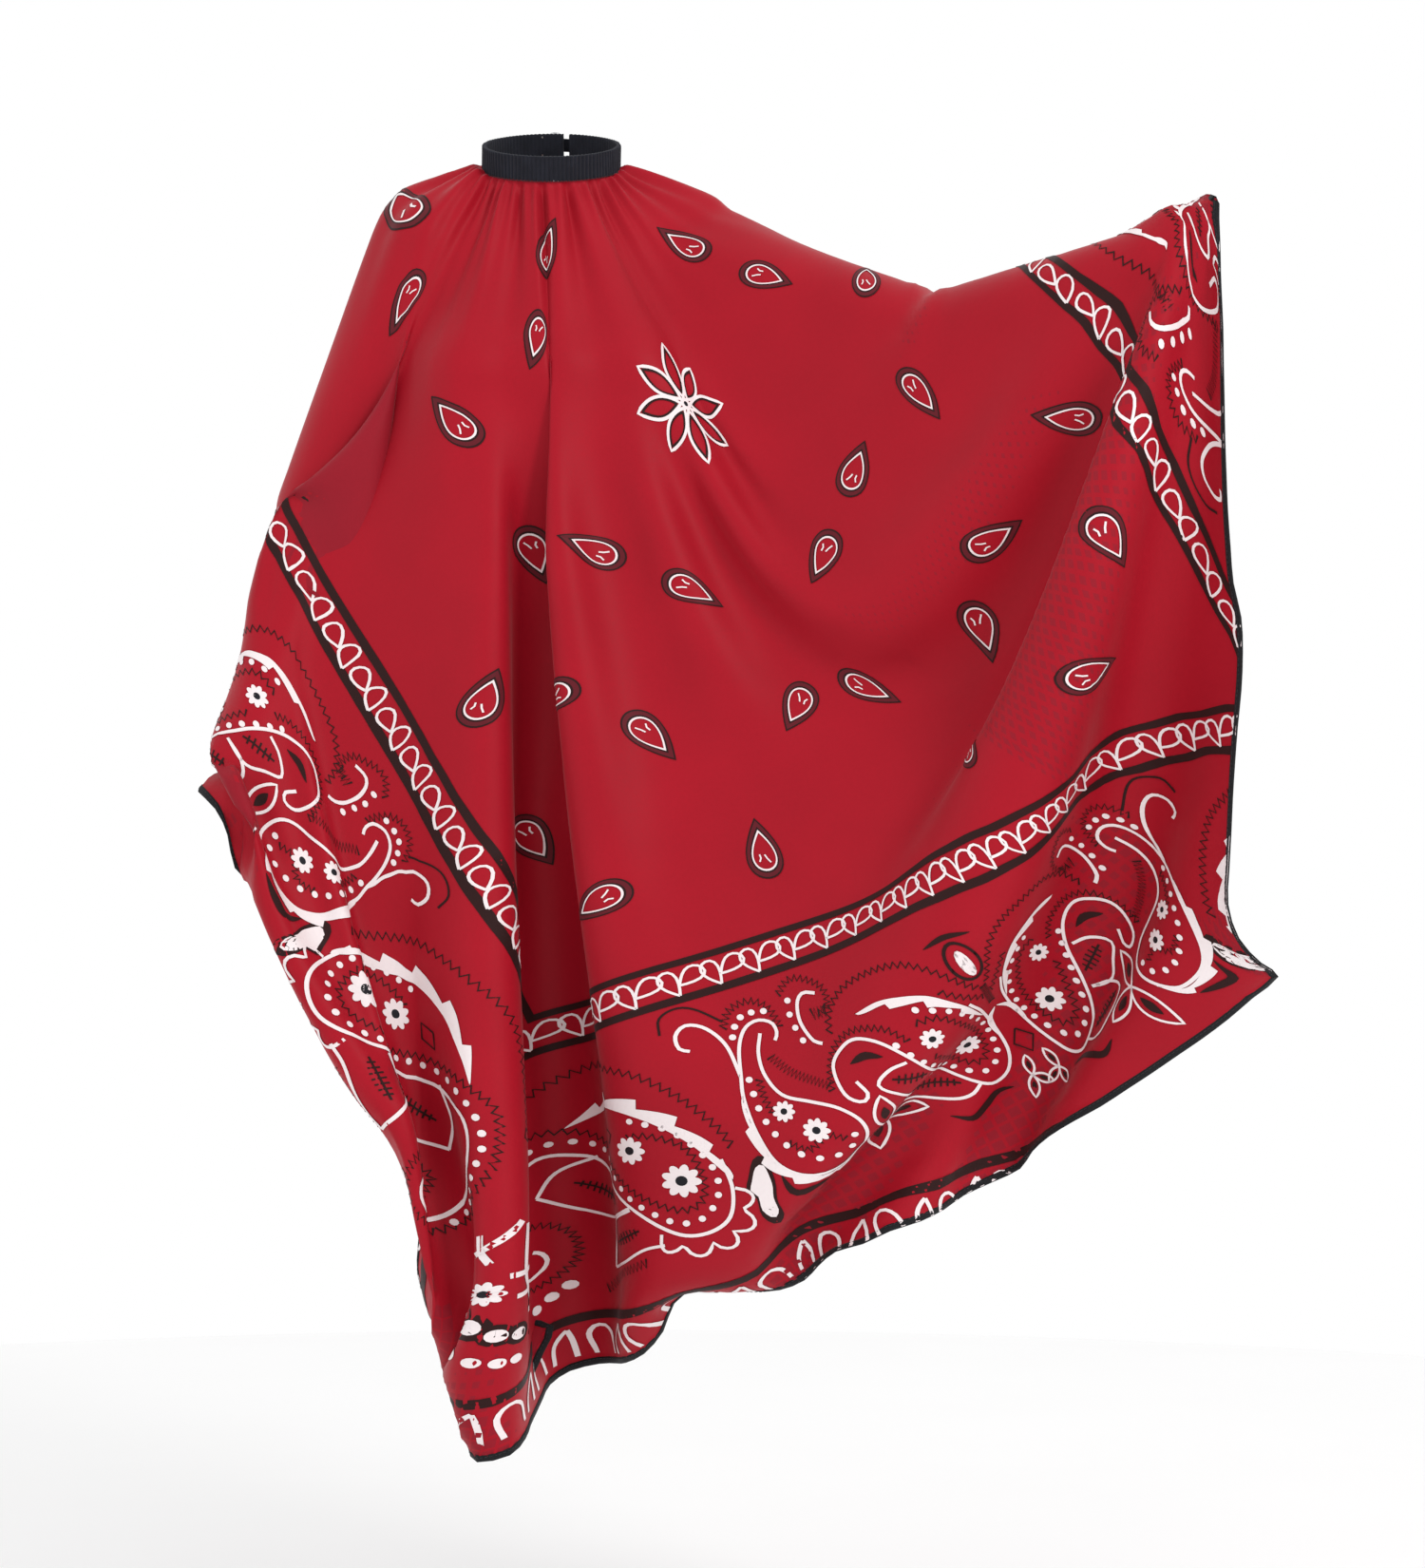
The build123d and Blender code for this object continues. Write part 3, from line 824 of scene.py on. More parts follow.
def corner_paisley(at):
    line("white", [(447, 182), (442, 187), (441, 196), (447, 203), (459, 204), (470, 193), (472, 172),
                   (467, 149), (455, 124), (436, 105), (417, 99), (399, 106), (385, 115), (366, 138),
                   (343, 166), (324, 189), (306, 202), (287, 203), (270, 194), (261, 172), (261, 145)], 3, at)
    flame([(258, 165), (266, 149), (278, 124), (296, 99), (319, 79), (343, 70), (371, 72), (399, 79)],
          6, -17, at)
    dots([(478, 165), (469, 133), (443, 97), (410, 89), (380, 103), (357, 130), (337, 163), (312, 188),
          (290, 190), (272, 172), (270, 145), (286, 110), (312, 91)], at)
    zigzag([(481, 178), (478, 143), (462, 103), (427, 77), (399, 81), (375, 98), (357, 120), (339, 148),
            (321, 168), (302, 180), (286, 175), (279, 155), (283, 126), (304, 108), (321, 104)], at)
    zigzag([(458, 180), (450, 164), (441, 158), (427, 168), (422, 183), (427, 203), (445, 216), (464, 213),
            (477, 198), (481, 180)], at, 5.5)
    line("white", [(430, 135), (413, 117), (386, 111)], 2.6, at)
    line("white", [(430, 135), (413, 156), (390, 169), (366, 169), (345, 166)], 2.6, at)
    line("white", [(345, 168), (376, 174), (390, 194), (399, 216)], 2.6, at)
    line("white", [(399, 216), (371, 213), (343, 206), (325, 206)], 2.6, at)
    fishbone((408, 131), (367, 159), at)
    fishbone((380, 194), (343, 188), at)
    edge = smooth_path([(325, 196), (306, 208), (284, 209), (265, 196), (259, 172)], step=2.5)
    bumps = np.abs(np.sin(np.linspace(0, 5 * np.pi, len(edge))))[:, None] ** 0.6 * 13
    stroke("white", edge - sideways(edge) * bumps, 2.6, at)
    gear((323, 116), 13, at)
    gear((295, 154), 15, at)
    diamond((350, 97), 11, 7, at)
    zigzag([(447, 59), (408, 39), (371, 27), (343, 29), (315, 39), (290, 55), (269, 84), (253, 120),
            (250, 137)], at, 8, 6.5)
    diamond((449, 61), 6, 6, at)
    zigzag([(417, 236), (390, 225), (343, 218)], at, 5, 8)
    dots([(461, 236), (450, 232), (437, 226)], at, 12, 4.5)


def corner_branches(at):
    line("white", [(485, 637), (494, 660), (499, 680), (497, 700), (490, 720), (481, 733)], 5, at)
    for spot, reach in (((499, 677), 12), ((497, 698), 15), ((489, 720), 13)):
        x, y = spot
        line("white", [(x - reach, y + reach * 0.25), (x, y), (x + reach, y - reach * 0.25)], 4.5, at)
    line("white", [(490, 631), (508, 643), (528, 648), (541, 646)], 5, at)
    line("white", [(513, 632), (517, 646), (516, 660)], 4.5, at)
    gear((526, 684), 11, at)
    for spot, radius in (((545, 697), 6), ((540, 711), 8), ((529, 722), 6.5), ((517, 728), 6.5)):
        blob("dark", circle(spot, radius * 1.5), at)
        blob("white", circle(spot, radius * 0.85), at)
    for x, y, radius in ((560, 733, 7), (545, 743, 5), (534, 748, 4.4), (524, 750, 4)):
        blob("white", circle((x, y), radius), at)
    swoosh("dark", [(505, 742), (488, 750), (472, 738)], 5, at)


def eye(at):
    swoosh("dark", [(-22, 33), (0, 30), (22, 33)], 4, at)
    line("dark", circle((0, 54), 13, 18, 10)[:-1], 2.8, at, closed=True)
    blob("white", circle((0, 56), 5.5, 13), at)
    zigzag([(34, 68), (17, 84), (4, 97)], at)
    zigzag([(0, 84), (0, 112)], at, 4, 7)
    diamond((0, 171), 9, 13, at)


def flower(at):
    for k in range(8):
        turn = k * np.pi / 4
        aim = np.array([np.cos(turn), np.sin(turn)])
        outline = lens(aim * 7, aim * (60 if k % 2 == 0 else 57), 0.40)
        middle = outline.mean(axis=0)
        stroke("white", outline, 3.2, at)
        stroke("dark", middle + (outline - middle) * 0.80, 3.0, at)
    gear((0, 0), 9, at, 8)


def field_drop(at):
    outline = teardrop(57, 31)
    middle = np.array([-6.0, 1.0])
    inside = [middle + (outline - middle) * share for share in (1.0, 0.93, 0.76, 0.68, 0.60)]
    band("dark", inside[0], inside[1], at)
    band("rose", inside[1], inside[2], at)
    band("white", inside[3], inside[4], at)
    band("dark", inside[2], inside[3], at)
    stroke("white", np.array([(-13, -4), (-9.5, -1), (-6, 1)], float), 1.3, at)
    stroke("white", np.array([(-13, 5), (-9.5, 4), (-6, 5)], float), 1.3, at)


# The drops of one quarter of the field: where each is, and where its tip points.
DROPS = [
    ((38, 294), (0.84, 0.54)),
    ((75, 171), (-0.55, 0.83)),
    ((123, 412), (-0.35, -0.94)),
    ((133, 101), (0.60, -0.80)),
    ((165, 283), (-0.12, 0.99)),
    ((231, 67), (0.30, 0.95)),
    ((221, 217), (0.97, -0.20)),
    ((257, 412), (1.00, 0.05)),
    ((328, 172), (-0.80, -0.60)),
    ((331, 324), (0.05, 1.00)),
]


def loop(centre, aim, at):
    """One leaf-shaped loop of the frame."""
    outline = teardrop(21, 15, 0.25, 16)
    c, s = np.cos(aim), np.sin(aim)
    stroke("white", np.array(centre) + outline @ np.array([(c, s), (-s, c)]), 2.1, at)


def arch(at, pointed):
    if pointed:
        line("white", [(-8, 32), (-4, 16), (3, 7), (8, 3)], 3, at)
        line("white", [(8, 3), (8, 14), (6, 32)], 3, at)
    else:
        line("white", [(-9, 32), (-9, 14), (-5, 6), (0, 4), (5, 6), (9, 14), (9, 32)], 3, at)


def draw_print():
    for sx in (1, -1):
        for sy in (1, -1):
            flip = np.array([sx, sy])

            def along(p, stretch=1.0, shift=0.0, squash=1.0, out=0.0):
                return (p * (stretch, squash) + (shift, FRAME_OUT[1] + out)) * flip

            def down(p, shift):
                return np.stack([FRAME_OUT[0] + 4 + p[:, 1] * 0.75, p[:, 0] * 1.25 + shift], axis=1) * flip

            def plain(p):
                return p * flip

            for motif in (mid_paisley, side_trefoils, curl, thorn_paisley, moth):
                motif(along)
                motif(lambda p: down(p, 10))
            corner_paisley(along)
            corner_paisley(lambda p: down(p, 3))
            corner_branches(plain)
            eye(along)
            diamond((FRAME_OUT[0] + 120, 0), 8, 12, plain)
            for (x, y), (ax, ay) in DROPS:
                aim = np.array([(ax, ay), (-ay, ax)])
                field_drop(lambda p: (np.array([x, y]) + p @ aim) * flip)
    flower(lambda p: p * (0.80, 1.0))
    for reach, width in ((FRAME_IN, 6), (FRAME_OUT, 7), (OUTER_LINE, 8.5)):
        x, y = reach
        for sign in (1, -1):
            half = x + width / 2
            stroke("dark", smooth_path([(-half, sign * y), (half, sign * y)]), width, np.array)
            stroke("dark", smooth_path([(sign * x, -y), (sign * x, y)]), width, np.array)
    middle = [(FRAME_IN[k] + FRAME_OUT[k]) / 2 for k in (0, 1)]
    for sign in (1, -1):
        for k in range(-25, 26):
            loop((k * 15.7, sign * middle[1]), 0.9 if k % 2 else 2.2, np.array)
        for k in range(-22, 23):
            loop((sign * middle[0], k * 21.7), 1.3 if k % 2 else 1.9, np.array)
        for k in range(-24, 25):
            arch(lambda p: (p + (k * 25.5, OUTER_LINE[1] + 6)) * (1, sign), k % 2 == 0)
        for k in range(-25, 26):
            arch(lambda p: np.stack([sign * (p[:, 1] * 0.75 + OUTER_LINE[0] + 5), p[:, 0] + k * 31], 1),
                 k % 2 == 0)


# ---- laying the print on the cloth ------------------------------------------------------------

# How far each ink stands off the cloth, so that the ones drawn over others lie on top of them.
INK_LIFT = {"dark": 0.0006, "rose": 0.0007, "white": 0.0008, "top": 0.0009}
# The print as it is seen from the front: how its axes are turned in the view, how far the flower is
# below the neck, and how the print slants, shifts and spreads across the cape.
PRINT_TURN = ((0.8975, 0.441), (0.40, -0.9165))
PRINT_DROP = 274
PRINT_SLANT = 0.029
PRINT_SHIFT = 19
PRINT_TAPER, TAPER_FROM = 1.3e-4, 100
PRINT_SPREAD = 4.4e-4
PRINT_CELL = 0.14
PRINT_STIFFNESS = 6
DEPTH_CELL = 0.006
DEPTH_CELLS = 400
SEEN_DEPTH = 0.02


def print_seen(surface, camera):
    """Print coordinates, in millimetres, at which each point is to appear from the front."""
    shrink = (camera[1] - surface[..., 1]) / camera[1]
    x = (camera[0] + (surface[..., 0] - camera[0]) / shrink) * 1000
    z = (camera[2] + (surface[..., 2] - camera[2]) / shrink) * 1000
    across = PRINT_TURN[0][0] * x + PRINT_TURN[0][1] * z
    down = PRINT_TURN[1][0] * x + PRINT_TURN[1][1] * z - PRINT_DROP
    y = down + PRINT_SLANT * across
    across = (across - PRINT_SHIFT) / (1 + PRINT_TAPER * (down - TAPER_FROM))
    across += PRINT_SPREAD * np.maximum(across, 0) ** 2
    return np.stack([across, y], axis=-1)


def in_view(surface, camera):
    """Which points of the cloth are seen from the front, by a coarse depth map."""
    shrink = (camera[1] - surface[..., 1]) / camera[1]
    column = ((surface[..., 0] - camera[0]) / shrink / DEPTH_CELL).astype(int) + DEPTH_CELLS // 2
    row = ((surface[..., 2] - camera[2]) / shrink / DEPTH_CELL).astype(int) + DEPTH_CELLS // 2
    nearest = np.full((DEPTH_CELLS, DEPTH_CELLS), np.inf)
    np.minimum.at(nearest, (column.ravel(), row.ravel()), surface[..., 1].ravel())
    near = nearest[column, row]
    facing = normals_of(surface)[..., 1] < -0.25
    return (surface[..., 1] < near + SEEN_DEPTH) & facing


def spline_terms(x, cell):
    """Cubic B-spline values of every knot at each x, with one knot each cell."""
    knots = np.arange(np.floor(x.min() / cell) - 1, np.ceil(x.max() / cell) + 2)
    gap = np.abs(x[:, None] / cell - knots)
    inner = 2 / 3 - gap**2 + gap**3 / 2
    outer = np.maximum(2 - gap, 0) ** 3 / 6
    return np.where(gap < 1, inner, outer)


def print_places(surface, flat):
    """The print coordinates of each point of the sheet: one smooth map for the whole sheet."""
    camera = np.array(bpy.context.scene.camera.location)
    goal = print_seen(surface, camera)
    plain = np.stack([flat[..., 0], flat[..., 1] - PRINT_DROP / 1000], axis=-1) * 1000
    seen = in_view(surface, camera)
    behind = flat[..., 1] < -0.12
    weight = np.where(behind, 0.25, np.where(seen, 1.0, 0.02)).reshape(-1, 1)
    goal = np.where((seen & ~behind)[..., None], goal, plain).reshape(-1, 2)
    across = spline_terms(flat[..., 0].ravel(), PRINT_CELL)
    down = spline_terms(flat[..., 1].ravel(), PRINT_CELL)
    terms = (across[:, :, None] * down[:, None, :]).reshape(len(goal), -1)
    some = slice(None, None, 7)
    # Stiffness: neighbouring knots lie evenly, so the print bends no more than it has to.
    knots = np.arange(terms.shape[1]).reshape(across.shape[1], down.shape[1])
    stiff = []
    for grid in (knots, knots.T):
        for a, b, c in zip(grid[:-2].ravel(), grid[1:-1].ravel(), grid[2:].ravel()):
            row = np.zeros(terms.shape[1])
            row[[a, b, c]] = (1, -2, 1)
            stiff.append(row)
    stiff = np.array(stiff) * PRINT_STIFFNESS
    left = (terms * weight)[some].T @ terms[some] + stiff.T @ stiff
    right = (terms * weight)[some].T @ goal[some]
    return (terms @ np.linalg.solve(left, right)).reshape(surface.shape[:2] + (2,))


def lay_print(surface, flat, materials):
    """Each ink's strokes, moved from the print's plane on to the draped cloth."""
    places = print_places(surface, flat)
    rows, columns = flat.shape[:2]
    quads = grid_faces(rows, columns)
    triangles = np.concatenate([quads[:, [0, 1, 2]], quads[:, [0, 2, 3]]])
    spots = np.concatenate([places.reshape(-1, 2), np.zeros((rows * columns, 1))], axis=1)
    tree = BVHTree.FromPolygons(spots.tolist(), triangles.tolist())
    skin = surface.reshape(-1, 3)
    normal = normals_of(surface).reshape(-1, 3)
    pieces = []
    for ink, grids in INKS.items():
        points = np.concatenate([g.reshape(-1, 2) for g in grids])
        firsts = np.cumsum([0] + [g.shape[0] * g.shape[1] for g in grids])
        faces = np.concatenate([grid_faces(*g.shape[:2], first) for g, first in zip(grids, firsts)])
        found = [tree.find_nearest((x, y, 0)) for x, y in points.tolist()]
        place = np.array([f[0][:2] for f in found])
        corner = triangles[[f[2] for f in found]]
        away = np.array([f[3] for f in found])
        a, b, c = (spots[corner[:, k], :2] for k in range(3))
        area = np.cross(b - a, c - a)
        wb = np.cross(place - a, c - a) / area
        wc = np.cross(b - a, place - a) / area
        share = np.stack([1 - wb - wc, wb, wc], axis=1)[..., None]
        on_skin = (skin[corner] * share).sum(axis=1)
        on_flat = (flat.reshape(-1, 2)[corner] * share).sum(axis=1)
        out = (normal[corner] * share).sum(axis=1)
        ray = corner[:, 0] // columns
        keep = (away[faces] < 0.5).any(axis=1) & (np.ptp(ray[faces], axis=1) < rows / 2)
        keep &= (corner[:, 0] % columns)[faces].min(axis=1) > 0
        faces = faces[keep]
        used, faces = np.unique(faces, return_inverse=True)
        faces = faces.reshape(-1, 4)
        piece = make_mesh("print_" + ink, (on_skin + out * INK_LIFT[ink])[used], faces, materials[ink])
        add_flat_places(piece, on_flat[used])
        tidy = bmesh.new()
        tidy.from_mesh(piece.data)
        bmesh.ops.remove_doubles(tidy, verts=tidy.verts, dist=0.00003)
        bmesh.ops.dissolve_degenerate(tidy, edges=tidy.edges, dist=0.00003)
        loose = [v for v in tidy.verts if not v.link_faces]
        bmesh.ops.delete(tidy, geom=loose, context="VERTS")
        tidy.to_mesh(piece.data)
        tidy.free()
        pieces.append(piece)
    return pieces


# ---- hems ------------------------------------------------------------------------------------

TAPE_WIDTH = 0.0060
TAPE_BULGE = 0.0011
STITCH_PITCH = 0.0046
STITCH_LENGTH = 0.0031
STITCH_HALF_WIDTH = 0.00024
STITCH_HEIGHT = 0.00040
STITCH_TAPER = 0.18
# The stitch line's place on the tape, as shares of the tape's width and bulge.
STITCH_INSET, STITCH_RISE = 0.72, 0.85

# The outline of a folded tape, seen end on, as shares of its width inward from the edge and of its
# bulge out from the cloth.
TAPE_SECTION = [(1.0, 0.35), (0.95, 0.75), (0.55, 1.0), (0.15, 0.95), (-0.10, 0.5), (-0.14, 0.0),
                (-0.10, -0.5), (0.15, -0.95), (0.55, -1.0), (0.95, -0.75), (1.0, -0.35)]


def build_tape(name, edge, inward, out, material):
    """A tape folded over an edge, closed at both ends."""
    tangent = np.gradient(edge, axis=0)
    tangent /= np.linalg.norm(tangent, axis=1, keepdims=True)
    lean = np.linalg.norm(np.cross(inward, tangent), axis=1, keepdims=True)
    inward = inward / np.clip(lean, 0.7, 1)
    rings = []
    for across, up in TAPE_SECTION:
        rise = out * up * TAPE_BULGE - out * CLOTH_THICKNESS / 2
        rings.append(edge + inward * across * TAPE_WIDTH + rise)
    grid = np.stack(rings, axis=1)
    rows, columns = grid.shape[:2]
    faces = [list(f) for f in grid_faces(rows, columns)]
    faces += [[i * columns, (i + 1) * columns, (i + 2) * columns - 1, (i + 1) * columns - 1]
              for i in range(rows - 1)]
    faces += [list(range(columns)), list(range((rows - 1) * columns, rows * columns))[::-1]]
    return make_mesh(name, grid.reshape(-1, 3), faces, material)


def dash_meshes(lines):
    """Small square-ended stitches along each line, as points and faces."""
    points, faces = [], []
    for path, out in lines:
        reach = np.concatenate([[0], np.cumsum(np.linalg.norm(np.diff(path, axis=0), axis=1))])
        even = np.arange(0, reach[-1], STITCH_PITCH)
        walk = np.stack([np.interp(even, reach, path[:, k]) for k in range(3)], axis=1)
        up = np.stack([np.interp(even[:-1], reach, out[:, k]) for k in range(3)], axis=1)
        starts = walk[:-1]
        ends = starts + (walk[1:] - starts) * (STITCH_LENGTH / STITCH_PITCH)
        side = np.cross(ends - starts, up)
        side *= STITCH_HALF_WIDTH / (np.linalg.norm(side, axis=1, keepdims=True) + 1e-12)
        top = up * STITCH_HEIGHT
        inset = (ends - starts) * STITCH_TAPER
        low = [starts + side, starts - side, ends - side, ends + side]
        high = [starts + inset + side + top, starts + inset - side + top,
                ends - inset - side + top, ends - inset + side + top]
        first = sum(len(p) for p in points) + np.arange(len(starts))[:, None] * 8
        points.append(np.stack(low + high, axis=1).reshape(-1, 3))
        for quad in ((0, 1, 2, 3), (7, 6, 5, 4), (0, 4, 5, 1), (1, 5, 6, 2), (2, 6, 7, 3), (3, 7, 4, 0)):
            faces.append(first + np.array(quad))
    return np.concatenate(points), np.concatenate(faces)


def build_hems(surface):
    """The bound edges: one tape for each stretch of hem and each side of the slit."""
    out = normals_of(surface)
    fineness = (len(surface) - 1) // sum(COUNTS)
    stops = [int(c) * fineness for c in np.cumsum([0] + COUNTS)]
    names = ["back_right", "right", "front", "left", "back_left"]
    inward = surface[:, -2] - surface[:, -1]
    inward /= np.linalg.norm(inward, axis=1, keepdims=True)
    tapes, lines = [], []
    tape = tape_material("hem_tape", BINDING_BLACK)
    edges = []
    for name, a, b in zip(names, stops, stops[1:]):
        span = slice(a, b + 1)
        edges.append(("hem_binding_" + name, surface[span, -1], inward[span], out[span, -1]))
    for name, ray, toward in (("right", 0, 1), ("left", -1, -2)):
        side = surface[toward] - surface[ray]
        side /= np.linalg.norm(side, axis=1, keepdims=True) + 1e-9
        edges.append(("slit_binding_" + name, surface[ray, 1:], side[1:], out[ray, 1:]))
    for node, edge, side, up in edges:
        piece = build_tape(node + "_tape", edge, side, up, tape)
        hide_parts(node)
        tapes.append(piece)
        for sign in (1, -1):
            rise = up * sign * TAPE_BULGE * STITCH_RISE
            lines.append((edge + side * TAPE_WIDTH * STITCH_INSET + rise, up * sign))
    points, faces = dash_meshes(lines)
    thread = tape_material("hem_thread", tint(BINDING_BLACK, 3.2))
    stitches = make_mesh("hem_stitches", points, faces, thread, smooth=False)
    return tapes, stitches


# ---- neckband and clip -----------------------------------------------------------------------

BAND_IN, BAND_OUT = 0.0620, 0.0660
BAND_GAP = (0.0100, 0.0160)
RIB_PITCH = 0.0040
RIB_DEPTH = 0.0016
INNER_RIB_DEPTH = 0.0004
# The knit swells a little away from the clip, from this far round the band.
SWELL_FROM, SWELL_EASE = 0.95, 0.08
SWELL, SWELL_UNEVEN, SWELL_EVEN = 0.0007, 0.0004, 0.0003
SEAM_LOOPS = 190
SEAM_LIFT, SEAM_COIL, SEAM_THREAD = 0.0008, 0.0007, 0.00028
# The tail: its two ends along the band, the stretch where it steps up on to the clip's plate, and
# its inner radius before and after the step.
TAIL_SEWN_END, TAIL_FREE_END = 0.034, -0.046
TAIL_STEP_FROM, TAIL_STEP_LENGTH = 0.015, 0.007
TAIL_SEWN_RADIUS, TAIL_CLIP_RADIUS = 0.0661, 0.06705
TAIL_HALF_WIDTH = 0.0065
TAIL_THICKNESS = 0.0020
TAIL_RIB_PITCH, TAIL_RIB_DEPTH = 0.0012, 0.00022


def closed_tube(name, grid, material):
    """A skin over sections that each close on themselves, with both ends capped."""
    rows, columns = grid.shape[:2]
    wrapped = np.concatenate([grid_faces(rows, columns)[:, ::-1],
                              np.stack([np.arange(rows - 1) * columns, (np.arange(rows - 1) + 1) * columns,
                                        (np.arange(rows - 1) + 2) * columns - 1,
                                        (np.arange(rows - 1) + 1) * columns - 1], axis=1)[:, ::-1]])
    faces = [list(f) for f in wrapped]
    faces += [list(range(columns))[::-1], list(range((rows - 1) * columns, rows * columns))]
    return make_mesh(name, grid.reshape(-1, 3), faces, material)


def build_neckband():
    """The rib-knit tube: a long flattened section carried round the neck, ribbed on both faces."""
    start = math.asin(BAND_GAP[1] / BAND_OUT)
    end = 2 * math.pi + math.asin(BAND_GAP[0] / BAND_OUT)
    count = int((end - start) * BAND_OUT / RIB_PITCH)
    turn = np.linspace(start, end, count * 8 + 1)[:, None]
    lap = np.linspace(0, 2 * np.pi, 40, endpoint=False)[None, :]
    across, up = np.cos(lap), np.sin(lap)
    # A rounded rectangle: thin through the band, tall along its axis.
    thick = np.sign(across) * np.abs(across) ** 0.35 * (BAND_OUT - BAND_IN) / 2
    tall = np.sign(up) * np.abs(up) ** 0.75 * BAND_HEIGHT / 2
    rib = np.abs(np.sin(turn * count / 2 + 0.12 * np.sin(9 * turn))) ** 0.7
    front = 1 / (1 + np.exp(-(np.abs(np.angle(np.exp(1j * turn))) - SWELL_FROM) / SWELL_EASE))
    uneven = np.sin(23 * turn) * np.sin(7 * turn + 1) * SWELL_UNEVEN
    swell = front * (SWELL * np.sin(lap + 0.4 * np.sin(5 * turn)) ** 2 + uneven + SWELL_EVEN)
    radius = (BAND_OUT + BAND_IN) / 2 + thick
    radius = radius + (rib - 0.5) * RIB_DEPTH * np.where(rib > 0.5, front, 1) * (across > 0.05)
    radius = radius + (1 - rib) * INNER_RIB_DEPTH * (across < -0.05)
    radius = radius + swell * (across > 0)
    height = tall * (1 - 0.05 * (1 - rib))
    place = on_neck(radius * np.sin(turn), radius * np.cos(turn), height + 0 * turn)
    band_piece = closed_tube("neckband_rib_knit", place, knit_material("neckband_knit", NAVY_BLACK))
    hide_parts("neckband_knit")
    return band_piece


def build_seam():
    """An overlock thread wound round the seam line under the band."""
    start = math.asin(BAND_GAP[1] / BAND_OUT)
    end = 2 * math.pi + math.asin(BAND_GAP[0] / BAND_OUT)
    t = np.linspace(0, 1, SEAM_LOOPS * 10 + 1)
    angle = start + (end - start) * t
    wind = 2 * np.pi * SEAM_LOOPS * t
    r = BAND_OUT + SEAM_LIFT + SEAM_COIL * np.cos(wind)
    height = -BAND_HEIGHT / 2 + SEAM_COIL * np.sin(wind)
    line_points = on_neck(r * np.sin(angle), r * np.cos(angle), height)
    along = np.gradient(line_points, axis=0)
    along /= np.linalg.norm(along, axis=1, keepdims=True)
    side = np.cross(along, (0, 0, 1.0))
    side /= np.linalg.norm(side, axis=1, keepdims=True)
    up = np.cross(side, along)
    lap = np.linspace(0, 2 * np.pi, 6, endpoint=False)
    round_thread = np.cos(lap)[None, :, None] * side[:, None] + np.sin(lap)[None, :, None] * up[:, None]
    grid = line_points[:, None] + SEAM_THREAD * round_thread
    thread = tape_material("seam_thread", tint(BINDING_BLACK, 3))
    piece = closed_tube("neck_seam_loops", grid, thread)
    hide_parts("neck_seam_thread")
    return piece


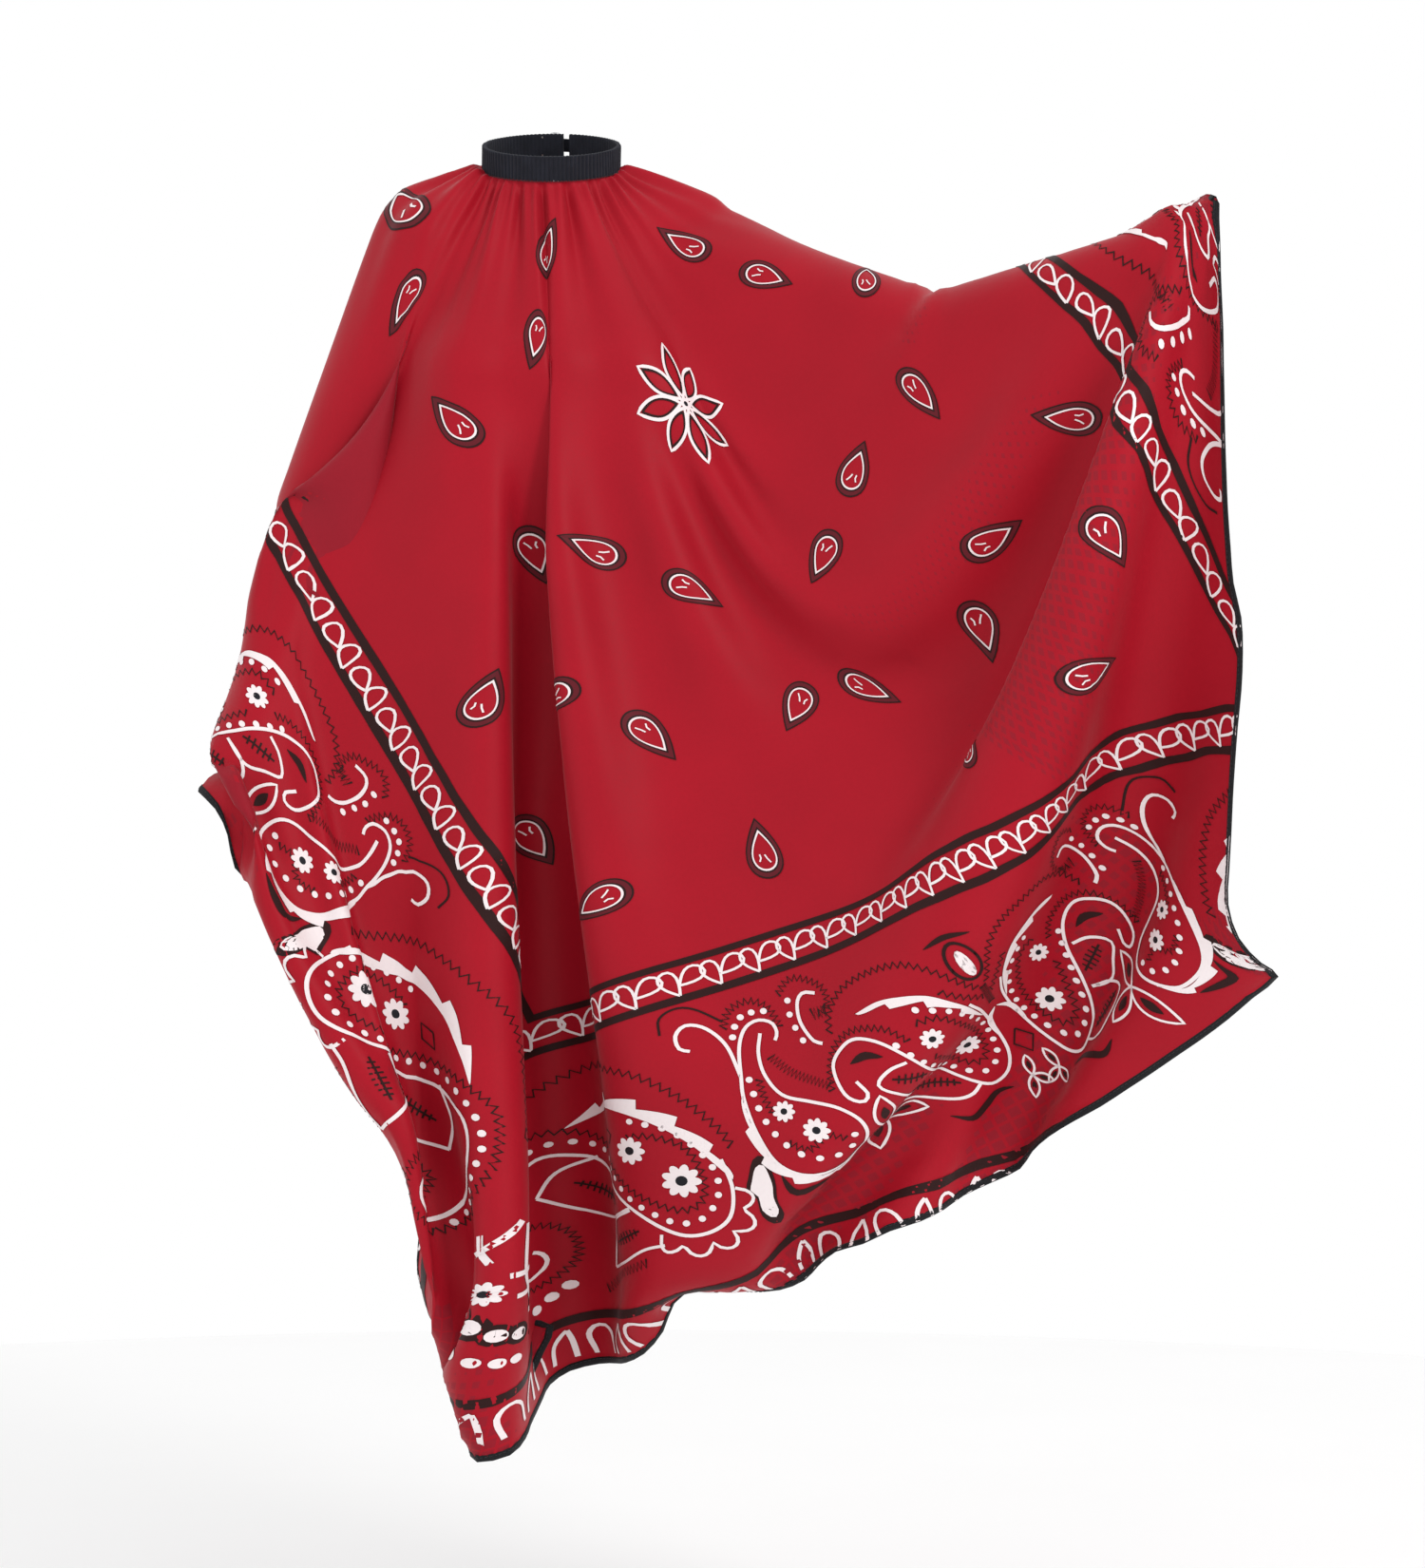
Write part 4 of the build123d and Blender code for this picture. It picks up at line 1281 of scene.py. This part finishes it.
def build_tail():
    """The band's free end: a narrow ribbed strap that follows the band through the clip."""
    arc = np.linspace(TAIL_SEWN_END, TAIL_FREE_END, 241)[:, None]
    rise = np.clip((TAIL_STEP_FROM - arc) / TAIL_STEP_LENGTH, 0, 1)
    inner = TAIL_SEWN_RADIUS + (TAIL_CLIP_RADIUS - TAIL_SEWN_RADIUS) * rise**2 * (3 - 2 * rise)
    lap = np.linspace(0, 2 * np.pi, 20, endpoint=False)[None, :]
    across, up = np.cos(lap), np.sin(lap)
    ribs = TAIL_RIB_DEPTH * np.abs(np.sin(arc / TAIL_RIB_PITCH * np.pi))
    free_end = np.sqrt(np.clip((arc - TAIL_FREE_END) / 0.003, 0.12, 1))
    end = free_end * np.sqrt(np.clip((TAIL_SEWN_END - arc) / 0.002, 0.12, 1))
    half = TAIL_THICKNESS / 2
    radius = inner + half + np.sign(across) * np.abs(across) ** 0.45 * (half - ribs)
    height = np.sign(up) * np.abs(up) ** 0.8 * TAIL_HALF_WIDTH * (0.9 + 0.1 * end)
    turn = arc / BAND_OUT
    place = on_neck(radius * np.sin(turn), radius * np.cos(turn), height)
    tail = closed_tube("band_tail_strap", place, knit_material("band_tail_knit", NAVY_BLACK))
    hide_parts("band_tail")
    return tail


def dress_cad(frame):
    """Procedural materials for the CAD parts that are kept."""
    thread = tape_material("tack_thread", tint(BINDING_BLACK, 4))
    finishes = {
        "clip_plate": steel_material("plate_steel", (0.62, 0.62, 0.63), 0.22),
        "clip_lever": steel_material("lever_steel", (0.70, 0.70, 0.71), 0.16),
        "clip_pin": steel_material("pin_steel", (0.55, 0.55, 0.56), 0.30),
        "clip_rivets": steel_material("rivet_steel", (0.66, 0.65, 0.62), 0.25),
        "neckband_elastic": tape_material("elastic_web", (0.35, 0.35, 0.34), 500),
        "tail_stitches": thread,
    }
    for node, material in finishes.items():
        slots = frame["nodes"][node].data.materials
        slots.clear()
        slots.append(material)


def build_floor():
    """A pale round floor under the hanging cape."""
    turns = [k * math.pi / 32 for k in range(64)]
    rim = [(FLOOR_RADIUS * math.cos(turn), FLOOR_RADIUS * math.sin(turn), FLOOR) for turn in turns]
    make_mesh("floor", rim, [list(range(64))], pale_material("pale_floor", (0.93, 0.93, 0.93)))


# ---- build -----------------------------------------------------------------------------------

bpy.context.scene.view_settings.view_transform = "Standard"
add_camera()
add_world()
add_light("key", (2.2, -3.0, 1.6), (0.1, -0.1, -0.5), 0.9, 55)
add_light("fill", (-3.0, -3.2, 0.4), (0.1, -0.1, -0.6), 1.6, 6)
build_floor()

surface = drape()
flat = refine_both(flat_sheet(2)[0])
surface = gather(surface, flat)
cloth = build_cloth(surface, flat)
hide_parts("cape_cloth")

draw_print()
inks = {name: cloth_material("ink_" + name, colour, 0.55, vary=0.05, sheen=0.04)
        for name, colour in INK_COLOURS.items()}
prints = lay_print(surface, flat, inks)
tapes, hem_stitches = build_hems(surface)
neckband = build_neckband()
seam = build_seam()
tail = build_tail()
dress_cad(frame)

slots = {"cape_cloth": [cloth] + prints, "hem_binding": tapes, "thread": [hem_stitches, seam],
         "band_knit": [neckband], "band_tail": [tail]}
for slot, pieces in slots.items():
    for piece in pieces:
        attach(piece, "cape")
